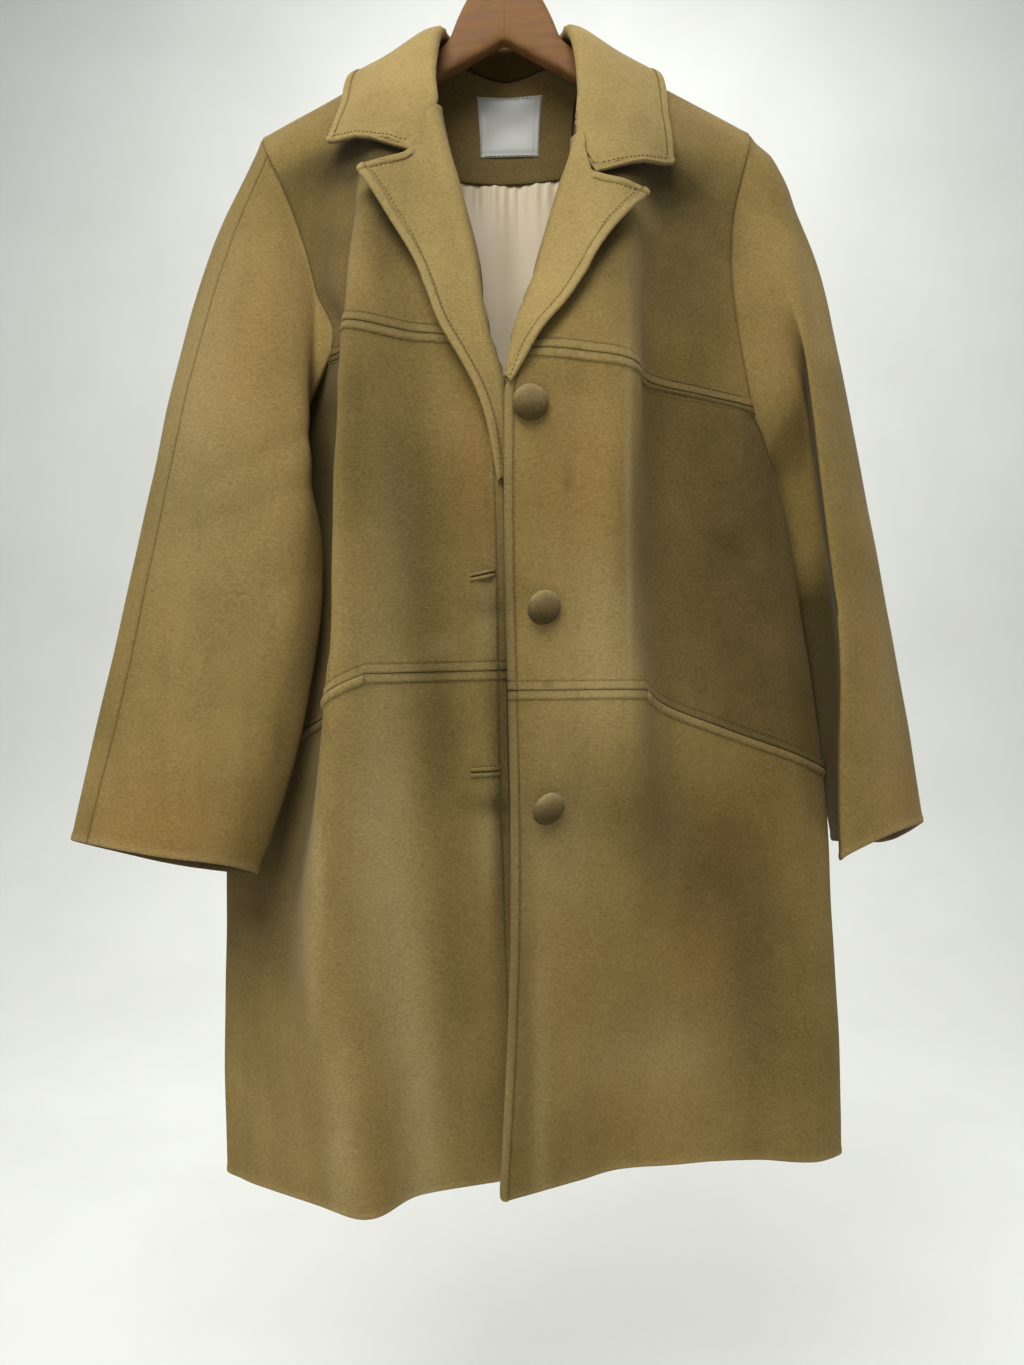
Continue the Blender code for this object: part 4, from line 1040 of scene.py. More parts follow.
def line_of(made, where):
    """Points and normals of a sheet along one line of its grid."""
    return made[0][where], made[2][where]


def add_sheet(name, made, materials, slot, solid, sewn=None, inside_shade=0.0):
    """Adds a cloth in place of its solid; sewn names its thread, the thread's material and its lines."""
    outer, inner, _, shares = made
    mesh = shell_mesh(name, outer, inner)
    shares = shares.reshape(-1, 3)
    # The inner side gets a weaker copy of the outer shares, and painted shade inside a sleeve
    paint(mesh, np.concatenate([shares, 0.4 * shares + np.array([inside_shade, 0, 0])]))
    piece = place(name, mesh, materials, slot, solid)
    threads = [add_stitches(*sewn, slot)] if sewn else []


def stitch_row(points, normals):
    """Points of the threads along a line of grid points, each sunk at its ends."""
    walk = np.concatenate([[0], np.cumsum(np.linalg.norm(np.diff(points, axis=0), axis=1))])
    ring = circle(THREAD_TURNS)
    rings = []
    for start in np.arange(STITCH_PITCH, walk[-1] - STITCH_PITCH, STITCH_PITCH):
        centre = np.column_stack([np.interp(start + STITCH_AT, walk, axis) for axis in points.T])
        up = unit(np.array([np.interp(start, walk, axis) for axis in normals.T]))
        aside = np.cross(unit(centre[-1] - centre[0]), up)
        for spot, high, wide in zip(centre, STITCH_RISE, STITCH_GIRTH):
            rise = np.outer(high + wide * np.sin(ring), up)
            rings.append(spot + rise + np.outer(wide * np.cos(ring), aside))
    return np.array(rings).reshape(-1, 3)


def add_stitches(name, material, lines, slot):
    points = np.concatenate([stitch_row(*line) for line in lines])
    each = len(STITCH_AT) * THREAD_TURNS
    one = tube_faces(len(STITCH_AT), THREAD_TURNS)
    faces = [[first + k for k in face] for first in range(0, len(points), each) for face in one]
    mesh = new_mesh(name, points, faces)
    bare = np.zeros(len(points))
    forward = np.broadcast_to((0.0, -1.0, 0.0), points.shape)
    paint(mesh, marks_and_shade_of(points, forward, bare, bare, PATCHES))
    return place(name, mesh, [material], slot)


# Materials
def set_inputs(tree, made, **inputs):
    """Sets a node's inputs to numbers or colours, or links them to other sockets."""
    for key, value in inputs.items():
        feed(tree, value, made.inputs[key.replace("_", " ")])


def feed(tree, value, socket):
    if isinstance(value, bpy.types.NodeSocket):
        tree.links.new(value, socket)
    else:
        socket.default_value = value


def node(tree, kind, **inputs):
    made = tree.nodes.new(kind)
    set_inputs(tree, made, **inputs)
    return made


def mix(tree, share, one, two, how="MIX"):
    """A colour between two colours or sockets; share may be a number or a socket."""
    made = tree.nodes.new("ShaderNodeMix")
    made.data_type = "RGBA"
    made.blend_type = how
    for k, value in ((0, share), (6, one), (7, two)):
        feed(tree, value, made.inputs[k])
    return made.outputs[2]


def scaled(tree, value, factor, added=0.0):
    """A value times a factor, with something added; each may be a number or a socket."""
    made = tree.nodes.new("ShaderNodeMath")
    made.operation = "MULTIPLY_ADD"
    for socket, part in zip(made.inputs, (value, factor, added)):
        feed(tree, part, socket)
    return made.outputs[0]


def noise(tree, spot, scale, detail=3.0, stretch=(1, 1, 1)):
    at = node(tree, "ShaderNodeMapping", Vector=spot, Scale=stretch).outputs[0]
    made = node(tree, "ShaderNodeTexNoise", Vector=at, Scale=scale, Detail=detail, Roughness=0.55)
    return made.outputs["Fac"]


def spread(tree, value, low, high):
    """Maps a value from low..high to 0..1."""
    return node(tree, "ShaderNodeMapRange", Value=value, From_Min=low, From_Max=high).outputs["Result"]


def between(tree, value, low, high):
    """Maps a value from 0..1 to low..high."""
    return node(tree, "ShaderNodeMapRange", Value=value, To_Min=low, To_Max=high).outputs["Result"]


def bump(tree, height, strength, distance):
    return node(tree, "ShaderNodeBump", Height=height, Strength=strength, Distance=distance).outputs[0]


def new_material(name):
    material = bpy.data.materials.new(name)
    material.use_nodes = True
    tree = material.node_tree
    spot = tree.nodes.new("ShaderNodeTexCoord").outputs["Object"]
    return material, tree, tree.nodes["Principled BSDF"], spot


def suede(name, tan, olive, dark, warm, pale, sheen=0.07):
    """Brushed suede: broad mottling, vertical nap streaks, fine grain, and the painted marks of stain and
    wear, with painted shade and highlights among them.
    """
    material, tree, shader, spot = new_material(name)
    broad = spread(tree, noise(tree, spot, 9.0, 4.0), 0.37, 0.64)
    streak = spread(tree, noise(tree, spot, 1.0, 5.0, (34, 34, 6)), 0.36, 0.66)
    blotch = spread(tree, noise(tree, spot, 34.0, 4.0), 0.35, 0.68)
    grain = noise(tree, spot, 620.0, 2.0, (0.6, 0.6, 1.4))
    speck = spread(tree, noise(tree, spot, 150.0, 2.0), 0.62, 0.72)
    stain_wear_and_shade = tree.nodes.new("ShaderNodeVertexColor")
    stain_wear_and_shade.layer_name = "stain_wear_and_shade"
    shares = tree.nodes.new("ShaderNodeSeparateColor")
    tree.links.new(stain_wear_and_shade.outputs["Color"], shares.inputs[0])
    dark_share, warm_share, pale_share = shares.outputs[:3]
    colour = mix(tree, scaled(tree, streak, 0.32, scaled(tree, broad, 0.60, 0.04)), olive, tan)
    uneven = scaled(tree, blotch, 0.34, 0.74)
    colour = mix(tree, scaled(tree, warm_share, uneven), colour, warm)
    colour = mix(tree, scaled(tree, pale_share, uneven), colour, pale)
    colour = mix(tree, scaled(tree, dark_share, scaled(tree, blotch, 0.16, 0.86)), colour, dark)
    colour = mix(tree, scaled(tree, speck, 0.10), colour, dark)
    light = mix(tree, spread(tree, grain, 0.25, 0.75), (0.0, 0.0, 0.0, 1), (1, 1, 1, 1))
    set_inputs(
        tree,
        shader,
        Base_Color=mix(tree, 0.30, colour, light, "SOFT_LIGHT"),
        Roughness=between(tree, blotch, 0.84, 0.98),
        Specular_IOR_Level=0.14,
        Sheen_Weight=sheen,
        Sheen_Roughness=0.5,
        Sheen_Tint=(1.0, 0.93, 0.74, 1),
        Normal=bump(tree, scaled(tree, grain, 0.7, scaled(tree, blotch, 0.6)), 0.35, 0.0006),
    )
    return material


def satin(name, light, shade, sheen):
    """Woven satin with fine threads and soft vertical shading."""
    material, tree, shader, spot = new_material(name)
    folds = spread(tree, noise(tree, spot, 1.0, 3.0, (20, 20, 6)), 0.28, 0.74)
    weave = node(tree, "ShaderNodeTexWave", Vector=spot, Scale=420.0, Distortion=0.6, Detail=1.0)
    weave.bands_direction = "DIAGONAL"
    colour = mix(tree, 0.10, mix(tree, folds, shade, light), weave.outputs["Color"], "SOFT_LIGHT")
    normal = bump(tree, weave.outputs["Fac"], 0.15, 0.0003)
    set_inputs(tree, shader, Base_Color=colour, Roughness=0.42, Sheen_Weight=sheen, Normal=normal)
    return material


def varnished_wood():
    """Orange-brown wood with long grain across the hanger and dark pores."""
    material, tree, shader, spot = new_material("hanger_wood")
    grain = spread(tree, noise(tree, spot, 1.0, 5.0, (18, 120, 150)), 0.32, 0.70)
    pores = spread(tree, noise(tree, spot, 1.0, 2.0, (60, 700, 800)), 0.60, 0.74)
    colour = mix(tree, grain, (0.180, 0.080, 0.024, 1), (0.258, 0.126, 0.042, 1))
    colour = mix(tree, scaled(tree, pores, 0.45), colour, (0.07, 0.028, 0.011, 1))
    rough = between(tree, grain, 0.52, 0.70)
    normal = bump(tree, grain, 0.2, 0.0004)
    set_inputs(tree, shader, Base_Color=colour, Roughness=rough, Specular_IOR_Level=0.22, Normal=normal)
    return material


def polished_wire():
    material, tree, shader, spot = new_material("hook_wire")
    marks = spread(tree, noise(tree, spot, 260.0, 2.0), 0.3, 0.7)
    colour = mix(tree, marks, (0.52, 0.52, 0.53, 1), (0.64, 0.64, 0.65, 1))
    set_inputs(tree, shader, Base_Color=colour, Roughness=between(tree, marks, 0.16, 0.34), Metallic=1.0)
    return material


# Suede colours; the dark, warm and pale ones show stains and wear as well as painted shade and painted
# highlights
TAN = (0.292, 0.199, 0.066, 1)
OLIVE = (0.182, 0.127, 0.036, 1)
DARK = (0.060, 0.042, 0.011, 1)
WARM = (0.245, 0.130, 0.034, 1)
PALE = (0.390, 0.300, 0.135, 1)
WEAR_AND_SHADE = (DARK, WARM, PALE)
SUEDE = suede("coat_suede", TAN, OLIVE, *WEAR_AND_SHADE)
LAPEL_SUEDE = suede("lapel_suede", (0.382, 0.278, 0.100, 1), (0.285, 0.202, 0.067, 1), *WEAR_AND_SHADE)
BUTTON_SUEDE = suede("button_suede", (0.200, 0.142, 0.058, 1), (0.136, 0.097, 0.040, 1), *WEAR_AND_SHADE)
FACING_WEAR = (DARK, DARK, TAN)
FACING_SUEDE = suede("facing_suede", (0.146, 0.100, 0.033, 1), (0.108, 0.074, 0.024, 1), *FACING_WEAR, 0.05)
FLESH = suede("suede_inside", (0.185, 0.115, 0.070, 1), (0.140, 0.085, 0.050, 1), *WEAR_AND_SHADE, 0.1)
LINING = satin("lining_satin", (0.610, 0.495, 0.305, 1), (0.500, 0.390, 0.230, 1), 0.2)
LABEL = satin("label_satin", (0.350, 0.345, 0.300, 1), (0.272, 0.268, 0.232, 1), 0.2)
THREAD = suede("thread", (0.205, 0.146, 0.052, 1), (0.150, 0.106, 0.038, 1), *WEAR_AND_SHADE, 0.1)


def front_panels(skin, side):
    """Lower, middle and yoke panel of one front, with their topstitching."""
    def hip(u):
        return hip_seam(u, side)

    yoke = level(ROW_UP["yoke"])
    panels = (
        ("lower", level(0.0), hip, "turned", "lapped", 0.36),
        ("mid", hip, yoke, "lapped", "lapped", 0.22),
        ("yoke", yoke, level(ROW_UP["shoulder"]), "lapped", "plain", 0.30),
    )
    for name, low, high, low_kind, high_kind, length in panels:
        edge = "plain" if name == "yoke" else "stitched"
        near = (NEAR_STITCHED, NEAR_PLAIN, NEAR_EDGE[low_kind], NEAR_EDGE[high_kind])
        u, v = grid_on(skin, (0.0, 1.0), low, high, near, (steps_for(0.26), steps_for(length)))
        corners = ((0, 2, 6 * MM),) if name == "lower" else ()
        # Painted shade under collar and lapels on the yoke
        stains_and_shade = UNDER_COLLAR if name == "yoke" else ()
        kinds = (edge, "plain", low_kind, high_kind)
        made = cloth(skin, u, v, kinds, WALL, creases=FRONT_CREASES, corners=corners, stains_and_shade=stains_and_shade)
        # Painted shade beyond the crease
        if (side, name) in SIDE_SHADE:
            start, soft, strength, nil, rise = SIDE_SHADE[side, name]
            made[3][..., 0] += strength * eased((u - start) / soft) * eased((v - nil) / rise)
        sewn_edges = (
            (low_kind == "lapped", np.s_[STITCH_ROW]),
            (high_kind == "lapped", np.s_[-1 - STITCH_ROW]),
            (edge == "stitched", np.s_[:, STITCH_ROW]),
        )
        sewn = (f"stitches_{name}_{side}", THREAD, [line_of(made, at) for shown, at in sewn_edges if shown])
        full = f"front_{name}_{side}"
        add_sheet(f"{full}_cloth", made, [SUEDE, FLESH], "suede", full, sewn)


def pocket_welt(skin, side):
    """A rounded raised welt along the slanted part of the hip seam."""
    u = np.linspace(HIP_CORNER[side] + 0.005, 0.985, 90)[None, :]
    offset = np.linspace(WELT_LOW, WELT_HIGH, 15)[:, None]
    middle, half = (WELT_LOW + WELT_HIGH) / 2, (WELT_HIGH - WELT_LOW) / 2
    u, v = np.broadcast_arrays(u, hip_seam(u, side) + offset)
    bulge = np.sqrt(np.clip(1 - ((offset - middle) / half) ** 2, 0, 1)) + 0 * u
    base = skin(u, v)
    normals = skin.normal(u, v)
    lift = (WELT_RISE + WELT_SINK) * bulge - WELT_SINK + ripple(base) * 0.3
    outer = base + normals * lift[..., None]
    # Painted shade at the welt's foot, a painted highlight along its raised top, and more painted shade
    # where it lies in the recess beyond the crease
    shares = marks_and_shade_of(base, normals, 0.8 * (1 - bulge) ** 3, 0.8 * bulge, PATCHES)
    shares[..., 0] += WELT_SHADE[side] * eased((u - 0.52) / 0.06)
    made = (outer, base - normals * WELT_DEEP, normals, shares)
    add_sheet(f"pocket_welt_{side}_cloth", made, [SUEDE, FLESH], "suede", f"pocket_welt_{side}")


def back_cloth(skin):
    counts = (steps_for(0.50), steps_for(0.90))
    u, v = grid_on(skin, (0.0, 1.0), level(0.0), level(ROW_UP["shoulder"]), (NEAR_PLAIN,) * 4, counts)
    made = cloth(skin, u, v, ("plain", "plain", "turned", "plain"), WALL, creases=BACK_CREASES)
    add_sheet("back_cloth", made, [SUEDE, FLESH], "suede", "back")


def lapel_cloth(front, side):
    skin = lapel_skin(front, side)
    near = (NEAR_PLAIN[:3], NEAR_STITCHED, NEAR_STITCHED, NEAR_PLAIN[:4])
    counts = (steps_for(0.10), steps_for(0.26))
    u, v = grid_on(skin, (LAPEL_INSIDE, 1.0), level(0.0), level(1.0), near, counts)
    top_edge = ("plain", "stitched", eased((u - NOTCH_ACROSS[side]) / 0.1))
    kinds = (None, "stitched", top_edge, "plain")
    made = cloth(skin, u, v, kinds, LAPEL_WALL, LAPEL_WALL, corners=((1, 2, 7 * MM),))
    beyond = np.argmax(u[STITCH_ROW] > NOTCH_ACROSS[side])
    places = (np.s_[STITCH_ROW:, -1 - STITCH_ROW], np.s_[STITCH_ROW, beyond:-STITCH_ROW])
    sewn = (f"stitches_lapel_{side}", THREAD, [line_of(made, at) for at in places])
    add_sheet(f"lapel_{side}_cloth", made, [LAPEL_SUEDE, FLESH], "suede", f"lapel_{side}", sewn)


def collar_cloth(left, right, back):
    skin = collar_skin(left, right, back)
    near = (NEAR_PLAIN[:4], NEAR_STITCHED, NEAR_STITCHED, NEAR_STITCHED)
    u, v = grid_on(skin, (0.0, 1.0), level(0.0), level(1.0), near, (steps_for(0.10), steps_for(0.52)))
    low = COLLAR_COLUMNS[2] * (1 - eased(np.minimum(v, 1 - v) / COLLAR_COLUMNS_FADE))
    u = low + (1 - low) * u
    seam = np.array([collar_seam(left, right, back, s) for s in v[:, 0]])
    drift = seam - skin(0.0, v[:, 0])
    pull = np.clip(1 - u / COLLAR_COLUMNS[1], 0, 1)
    end_edge = ("plain", "stitched", eased((u - COLLAR_COLUMNS[5]) / 0.08))
    kinds = ("plain", "stitched", end_edge, end_edge)
    fix = pull[..., None] * drift[:, None, :]
    corners = ((1, 2, 4 * MM), (1, 3, 4 * MM))
    made = cloth(skin, u, v, kinds, COLLAR_WALL, COLLAR_WALL, fix=fix, corners=corners)
    # The stand, below the roll, is painted darker
    made[3][..., 0] += 1.1 * eased((COLLAR_COLUMNS[1] + 0.01 - u) / 0.05)
    places = [np.s_[STITCH_ROW:-STITCH_ROW, -1 - STITCH_ROW]]
    for row in (STITCH_ROW, -1 - STITCH_ROW):
        beyond = np.argmax(u[row] > COLLAR_COLUMNS[5])
        places.append(np.s_[row, beyond:-STITCH_ROW])
    sewn = ("stitches_collar", THREAD, [line_of(made, at) for at in places])
    add_sheet("collar_cloth", made, [LAPEL_SUEDE, FLESH], "suede", "collar", sewn)


def facing_low(u):
    return FACING_LOW - FACING_SAG * (1 - ((u - 0.5) / FACING_HALF) ** 2)


def neck_facing(back):
    near = (NEAR_PLAIN[:4],) * 4
    u, v = grid_on(back, FACING_ENDS, facing_low, level(ROW_UP["shoulder"]), near, (30, 22))
    made = cloth(back, u, v, ("plain", "plain", "turned", "plain"), LINING_WALL, -FACING_SINK)
    add_sheet("facing_cloth", turned_in(made), [FACING_SUEDE] * 2, "facing", "back_neck_facing")


def back_lining(back):
    """The lining, gathered where it is sewn to the facing."""
    def high(u):
        return facing_low(np.clip(u, *FACING_ENDS)) + 0.004

    u, v = grid_on(back, LINING_ENDS, level(LINING_LOW), high, (NEAR_PLAIN[:4],) * 4, (150, 110))
    base = back(u, v)
    gap = edge_distances(base)[3] / MM
    x = base[..., 0] / MM
    gathers = GATHER_HIGH * np.sin(x / 1.5 + 0.9 * np.sin(x / 9)) * np.exp(-gap / 15) * eased(gap / 6)
    folds = FOLD_HIGH * np.sin(x / 7.5 + 1.1 * np.sin(x / 31)) * np.exp(-gap / 120)
    made = cloth(back, u, v, ("plain",) * 4, LINING_WALL, -LINING_SINK, relief=gathers + folds)
    add_sheet("lining_cloth", turned_in(made), [LINING] * 2, "lining", "lining_back")


def bare_label(back):
    """A plain label on the facing, level and of even width, sewn round its edge."""
    rise = np.linspace(ROW_UP["breast"], ROW_UP["shoulder"] - 0.001, 200)
    places = np.linspace(0.36, 0.64, 200)
    x = back(places, np.full(200, ROW_UP["gorge"]))[:, 0]
    sides = np.interp([LABEL_CENTRE_X - LABEL_WIDE / 2, LABEL_CENTRE_X + LABEL_WIDE / 2], x, places)
    u = np.broadcast_to(np.linspace(*sides, LABEL_STEPS), (LABEL_STEPS, LABEL_STEPS))
    column_z = np.stack([back(u[0], np.full(LABEL_STEPS, up))[:, 2] for up in rise], axis=1)
    levels = np.linspace(LABEL_TOP_Z - LABEL_TALL, LABEL_TOP_Z, LABEL_STEPS)
    v = np.stack([np.interp(levels, heights, rise) for heights in column_z], axis=1)
    base = back(u, v) / MM
    wave = LABEL_WAVE * np.sin(base[..., 2] / 6.0) * np.sin(base[..., 0] / 11.0 + 1.0)
    made = turned_in(cloth(back, u, v, ("plain",) * 4, LABEL_WALL, -LABEL_SINK, relief=wave))
    lines = [line_of(made, at) for at in (np.s_[:, 1], np.s_[:, -2], np.s_[1], np.s_[-2])]
    add_sheet("label_cloth", made, [LABEL] * 2, "label", "label", ("stitches_label", LABEL, lines))


def around(u):
    """Place round a sleeve, counted from -0.3 to 0.7."""
    return np.mod(u + 0.3, 1.0) - 0.3


def fold_shade(u, v):
    """Painted shade in the left sleeve's deep front fold, and on all of its inner part below the elbow."""
    turn = around(u)
    behind_front = eased((0.352 - turn) / 0.02)
    fold = eased((turn - 0.18) / 0.06) * eased((v - 0.14) / 0.16)
    below = eased((turn + 0.12) / 0.1) * eased((v - 0.5) / 0.16)
    return 1.2 * behind_front * np.maximum(fold, below)


def shoulder_cap(u, v):
    """Height of the fuller top of the left sleeve, below the armhole seam on its outer side."""
    outer = np.exp(-(((around(u) - 0.55) / 0.10) ** 2))
    return CAP_HIGH * outer * eased(v / 0.05) * np.exp(-(((v - 0.06) / 0.09) ** 2))


def cuff_pull(u, v):
    """The left cuff's front corner hangs lower and further in than the rest."""
    near = np.exp(-(((around(u) - 0.32) / 0.12) ** 2)) * eased((v - 0.7) / 0.3)
    return near[..., None] * CUFF_PULL


def sleeve_cloth(skin, side):
    """Top and under sleeve between their two seams, from the armhole to the turned cuff."""
    first, last = SLEEVE_SPANS[side]
    spans = (("sleeve_top", first, last + (last < first)), ("sleeve_under", last, first + (first < last)))
    for name, start, stop in spans:
        counts = (steps_for(0.46 * (stop - start)), steps_for(0.54))
        low, high = (level(end) for end in SLEEVE_ENDS)
        u, v = grid_on(skin, (start, stop), low, high, (NEAR_PLAIN,) * 4, counts)
        own = {"relief": shoulder_cap(u, v), "fix": cuff_pull(u, v)} if side == "left" else {}
        kinds = ("seamed", "seamed", "plain", "turned")
        made = cloth(skin, u, v, kinds, SLEEVE_WALL, creases=SLEEVE_CREASES, **own)
        if side == "left":
            made[3][..., 0] += fold_shade(u, v)
        seam = skin.armhole_points(u[0])
        lean = skin.armhole_normals(u[0])
        seam = seam + lean * (ripple(seam) + EDGE_FORMS["plain"][0] * MM - WALL / 2)[:, None]
        made[0][0] = seam + lean * SEWN_HALF
        made[1][0] = seam - lean * SEWN_HALF
        full = f"{name}_{side}"
        add_sheet(f"{full}_cloth", made, [SUEDE, FLESH], "suede", full, inside_shade=INSIDE_SHADE[side])


def button(name, skin, u, v, tilt):
    """A covered dome on its thread shank, with the cover drawn in round the rim, hanging a little askew."""
    raised = BUTTON_RADIUS * np.sin(tilt) * 0.75
    section = np.array(BUTTON_SECTION)
    section[0, 2] -= raised / MM
    profile = smooth(section[:, 0], section[:, 1:] * MM, np.linspace(0, 1, BUTTON_RINGS))
    profile[:, 0] = np.maximum(profile[:, 0], 0.3 * MM)
    ring = circle(BUTTON_TURNS)
    rings = [np.column_stack([r * np.cos(ring), r * np.sin(ring), 0 * ring + z]) for r, z in profile]
    points = np.concatenate(rings)
    turn = np.arctan2(points[:, 1], points[:, 0])
    radius = np.hypot(points[:, 0], points[:, 1])
    rim = np.exp(-(((radius - BUTTON_RIM) / BUTTON_RIM_HALF) ** 2))
    points[:, :2] *= (1 + 0.012 * np.sin(17 * turn + 0.6 * np.sin(5 * turn)) * rim)[:, None]
    points[:, 2] += 0.12 * MM * np.sin(3 * turn + 1) * (radius > 4 * MM)
    out = Vector(skin.normal(u, v))
    seat = Vector(skin(u, v)) + out * (BUTTON_SEAT + raised)
    askew = Matrix.Rotation(tilt, 4, Vector((1.0, 0.0, 1.0)))
    turned = Matrix.Translation(seat) @ askew @ out.to_track_quat("Z", "Y").to_matrix().to_4x4()
    points = np.array([turned @ Vector(p) for p in points])
    mesh = new_mesh(f"{name}_cover", points, tube_faces(BUTTON_RINGS, BUTTON_TURNS))
    up = (points - np.array(seat))[:, 2] / MM
    shares = np.zeros((len(points), 3))
    # Painted shade over the lower part of the dome and a painted highlight round its upper rim
    shares[:, 0] = eased((4 - up) / 14)
    shares[:, 2] = 0.65 * np.clip(radius / BUTTON_RADIUS, 0, 1) ** 3 * eased(up / 9)
    paint(mesh, shares)
    place(f"{name}_cover", mesh, [BUTTON_SUEDE], "button_suede", name)


def buttonhole(name, skin, u_near, u_far, v, slope):
    """Two rounded lips with a dark slit between them, a little open at the front end."""
    u, s = np.broadcast_arrays(np.linspace(u_near, u_far, 60)[None, :], np.linspace(-1, 1, 25)[:, None])
    along = (u - u_near) / (u_far - u_near)
    v = v + s * HOLE_HALF - slope * along
    base = skin(u, v)
    normals = skin.normal(u, v)
    ends = np.sqrt(np.clip(1 - np.abs(2 * along - 1) ** 6, 0, 1))
    lip = np.sqrt(np.clip(1 - ((np.abs(s) - 0.52) / 0.48) ** 2, 0, 1))
    slit = np.exp(-((s / 0.14) ** 2)) * ends
    lift = HOLE_FOOT + HOLE_LIP * lip * (0.35 + 0.65 * ends) - HOLE_SLIT * slit
    outer = base + normals * lift[..., None]
    # Painted shade in the slit and round the foot of the lips; the tops of the lips are a little paler
    hole_shade = np.clip(3.2 * slit + 1.9 * (1 - lip) ** 3, 0, 2.4)
    made = (outer, base - normals * HOLE_DEEP, normals, marks_and_shade_of(base, normals, hole_shade, 0.2 * lip, PATCHES))
    add_sheet(f"{name}_cloth", made, [SUEDE, FLESH], "suede", name)


def hanger():
    """Wooden hanger lofted from arm end to arm end, with a fine joint line at its centre."""
    half = list(HANGER_HALF)
    for x, tall, thick in HANGER_ARM:
        top = shoulder_z(x) - HANGER_CLEAR - (HANGER_ARM[0][1] - tall) * 0.1
        half.append((x, top, top - tall, thick))
    marks = np.array([(-x, *rest) for x, *rest in half[:0:-1]] + half, float)
    end = HANGER_ARM[-1][0]
    joint_x = [-0.5, -0.25, 0.25, 0.5]
    finer = np.unique(np.concatenate([np.linspace(-end, end, 195), joint_x, np.linspace(-60, 60, 121)]))
    ring = circle(HANGER_TURNS)
    rings = []
    for x, (top, low, thick) in zip(finer, smooth(marks[:, 0], marks[:, 1:], finer)):
        square = 1.05 - 0.60 * float(eased((78 - abs(x)) / 30))
        joint = JOINT_DEEP * np.exp(-((x / JOINT_HALF) ** 2))
        across, up = (np.sign(wave) * np.abs(wave) ** square for wave in (np.cos(ring), np.sin(ring)))
        y = (thick - joint) * across
        z = (top + low) / 2 + (top - low) / 2 * up
        rings.append(np.column_stack([0 * ring + x, y, z]) * MM)
    faces = [(face[0], *face[:0:-1]) for face in tube_faces(len(rings), HANGER_TURNS)]
    mesh = new_mesh("hanger_wood", np.concatenate(rings), faces)
    place("hanger_wood", mesh, [varnished_wood()], "wood", "hanger_body")


def hook():
    """Wire hook: a straight foot in the wood, then a bend round its inner top."""
    bend = HOOK_RADIUS + WIRE_RADIUS
    foot = np.linspace(HOOK_FOOT_Z - HOOK_SUNK, -HOOK_RADIUS - bend - 0.0005, 8)
    path = [(0, 0, z) for z in foot]
    for a in np.radians(np.linspace(*HOOK_TURN, 90)):
        path.append((bend * np.cos(a), 0, -HOOK_RADIUS + bend * np.sin(a)))
    path = np.array(path)
    side = np.array([0.0, 1.0, 0.0])
    ring = circle(WIRE_TURNS)
    rings = []
    for spot, forward in zip(path, unit(np.gradient(path, axis=0))):
        out = np.cross(forward, side)
        rings.append(spot + WIRE_RADIUS * (np.outer(np.cos(ring), side) + np.outer(np.sin(ring), out)))
    mesh = new_mesh("hook_wire", np.concatenate(rings), tube_faces(len(path), WIRE_TURNS))
    place("hook_wire", mesh, [polished_wire()], "steel", "hanger_hook")


left_front = front_skin(LEFT_FRONT, "left")
right_front = front_skin(RIGHT_FRONT, "right")
back_panel = back_skin(left_front, right_front)
fronts = (("left", left_front), ("right", right_front))

hanger()
hook()
for front_side, front in fronts:
    front_panels(front, front_side)
for front_side, front in fronts:
    pocket_welt(front, front_side)
back_cloth(back_panel)
for front_side, front in fronts:
    lapel_cloth(front, front_side)
collar_cloth(left_front, right_front, back_panel)
neck_facing(back_panel)
back_lining(back_panel)
bare_label(back_panel)
sleeve_cloth(Sleeve(LEFT_SLEEVE, left_front, back_panel, 1.0, -1, CUFF_BACK_DROP["left"]), "left")
sleeve_cloth(Sleeve(RIGHT_SLEEVE, right_front, back_panel, 0.0, 1, CUFF_BACK_DROP["right"]), "right")
for button_name, button_u, button_v, button_tilt in BUTTONS:
    button(button_name, left_front, button_u, button_v, np.radians(button_tilt))
for hole_name, *hole_places in BUTTONHOLES:
    buttonhole(hole_name, right_front, *hole_places)


# Stage, light and camera
FLOOR_Z = -1.45
BACKDROP_Y = 2.6
BACKDROP_TOP = 3.5
STAGE_HALF = 6.0


def stage():
    """A pale floor that curves up into a backdrop well behind the coat."""
    profile = [(-STAGE_HALF, FLOOR_Z)]
    for a in np.linspace(0, np.pi / 2, 16):
        profile.append((BACKDROP_Y - 1 + np.sin(a), FLOOR_Z + 1 - np.cos(a)))
    profile.append((BACKDROP_Y, BACKDROP_TOP))
    points = [(x, y, z) for y, z in profile for x in (-STAGE_HALF, STAGE_HALF)]
    faces = grid_faces(np.arange(len(points)).reshape(-1, 2)).tolist()
    material, tree, shader, spot = new_material("backdrop_paper")
    tone = spread(tree, noise(tree, spot, 3.0, 2.0), 0.3, 0.7)
    colour = mix(tree, tone, (0.76, 0.77, 0.72, 1), (0.80, 0.81, 0.76, 1))
    set_inputs(tree, shader, Base_Color=colour, Roughness=0.9)
    piece = bpy.data.objects.new("backdrop", new_mesh("backdrop", points, faces))
    piece.data.materials.append(material)
    bpy.context.scene.collection.objects.link(piece)


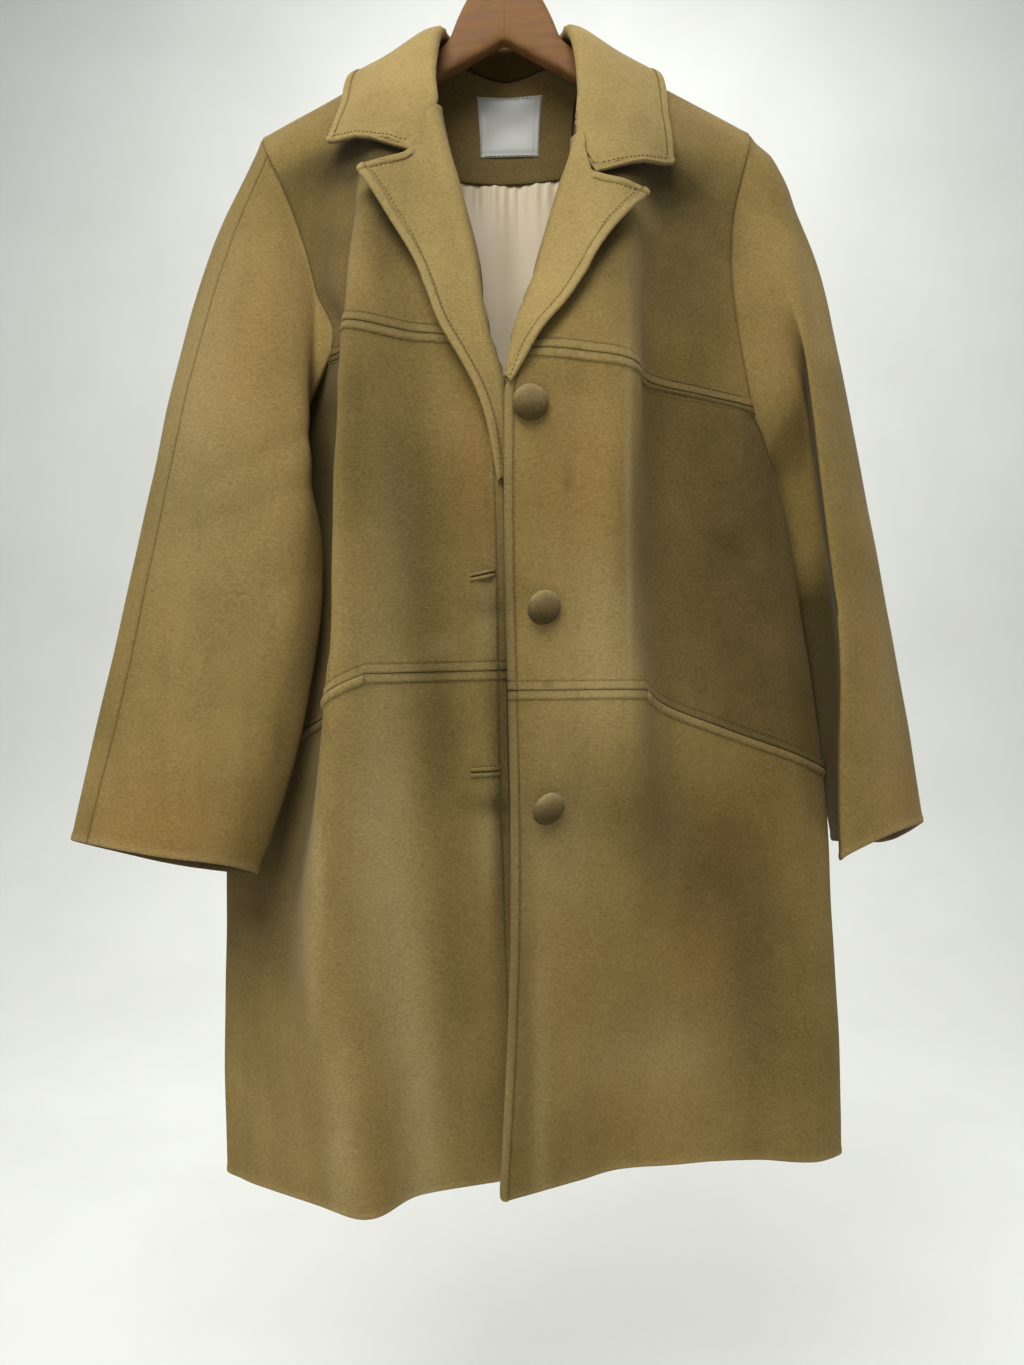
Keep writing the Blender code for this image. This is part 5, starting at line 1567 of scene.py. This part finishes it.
# Lights: name, place, aim, size and power
LIGHTS = (
    ("key", (-0.40, -1.6, 1.15), (0.02, 0.0, -0.5), 1.4, 52),
    ("fill", (-1.4, -1.6, -0.6), (0.0, 0.0, -0.7), 1.6, 7),
    ("edge", (1.7, 0.25, -0.1), (0.2, 0.0, -0.6), 1.0, 4),
    ("behind", (-0.6, 1.9, 0.9), (0.0, 0.0, -0.6), 1.6, 20),
    ("wall", (0.25, 0.9, 1.5), (0.3, 2.6, -0.6), 2.0, 36),
)


def lights():
    for name, spot, aim, size, power in LIGHTS:
        lamp = bpy.data.lights.new(name, "AREA")
        lamp.size = size
        lamp.energy = power
        holder = bpy.data.objects.new(name, lamp)
        holder.location = spot
        holder.rotation_euler = (Vector(aim) - Vector(spot)).to_track_quat("-Z", "Y").to_euler()
        bpy.context.scene.collection.objects.link(holder)
    world = bpy.data.worlds.new("room")
    world.use_nodes = True
    world.node_tree.nodes["Background"].inputs["Color"].default_value = (0.92, 0.95, 1.0, 1)
    world.node_tree.nodes["Background"].inputs["Strength"].default_value = 0.25
    bpy.context.scene.world = world


# Camera: place, pitch up and roll in radians, focal length and image height in pixels
CAMERA_AT = (0.0003, -0.845, -0.694)
CAMERA_PITCH = np.radians(2.07)
CAMERA_ROLL = 0.0104
FOCAL_PIXELS = 1025
IMAGE_TALL = 1365
SENSOR_TALL = 36


def camera():
    ahead = Vector((0, np.cos(CAMERA_PITCH), np.sin(CAMERA_PITCH)))
    level_up = Vector((0, -np.sin(CAMERA_PITCH), np.cos(CAMERA_PITCH)))
    right = np.cos(CAMERA_ROLL) * Vector((1, 0, 0)) - np.sin(CAMERA_ROLL) * level_up
    up = np.sin(CAMERA_ROLL) * Vector((1, 0, 0)) + np.cos(CAMERA_ROLL) * level_up
    lens = bpy.data.cameras.new("camera")
    lens.sensor_fit = "VERTICAL"
    lens.sensor_height = SENSOR_TALL
    lens.lens = FOCAL_PIXELS / IMAGE_TALL * SENSOR_TALL
    holder = bpy.data.objects.new("camera", lens)
    turn = Matrix((right, up, -ahead)).transposed().to_4x4()
    holder.matrix_world = Matrix.Translation(CAMERA_AT) @ turn
    bpy.context.scene.collection.objects.link(holder)
    bpy.context.scene.camera = holder


stage()
lights()
camera()
bpy.context.scene.view_settings.view_transform = "Standard"
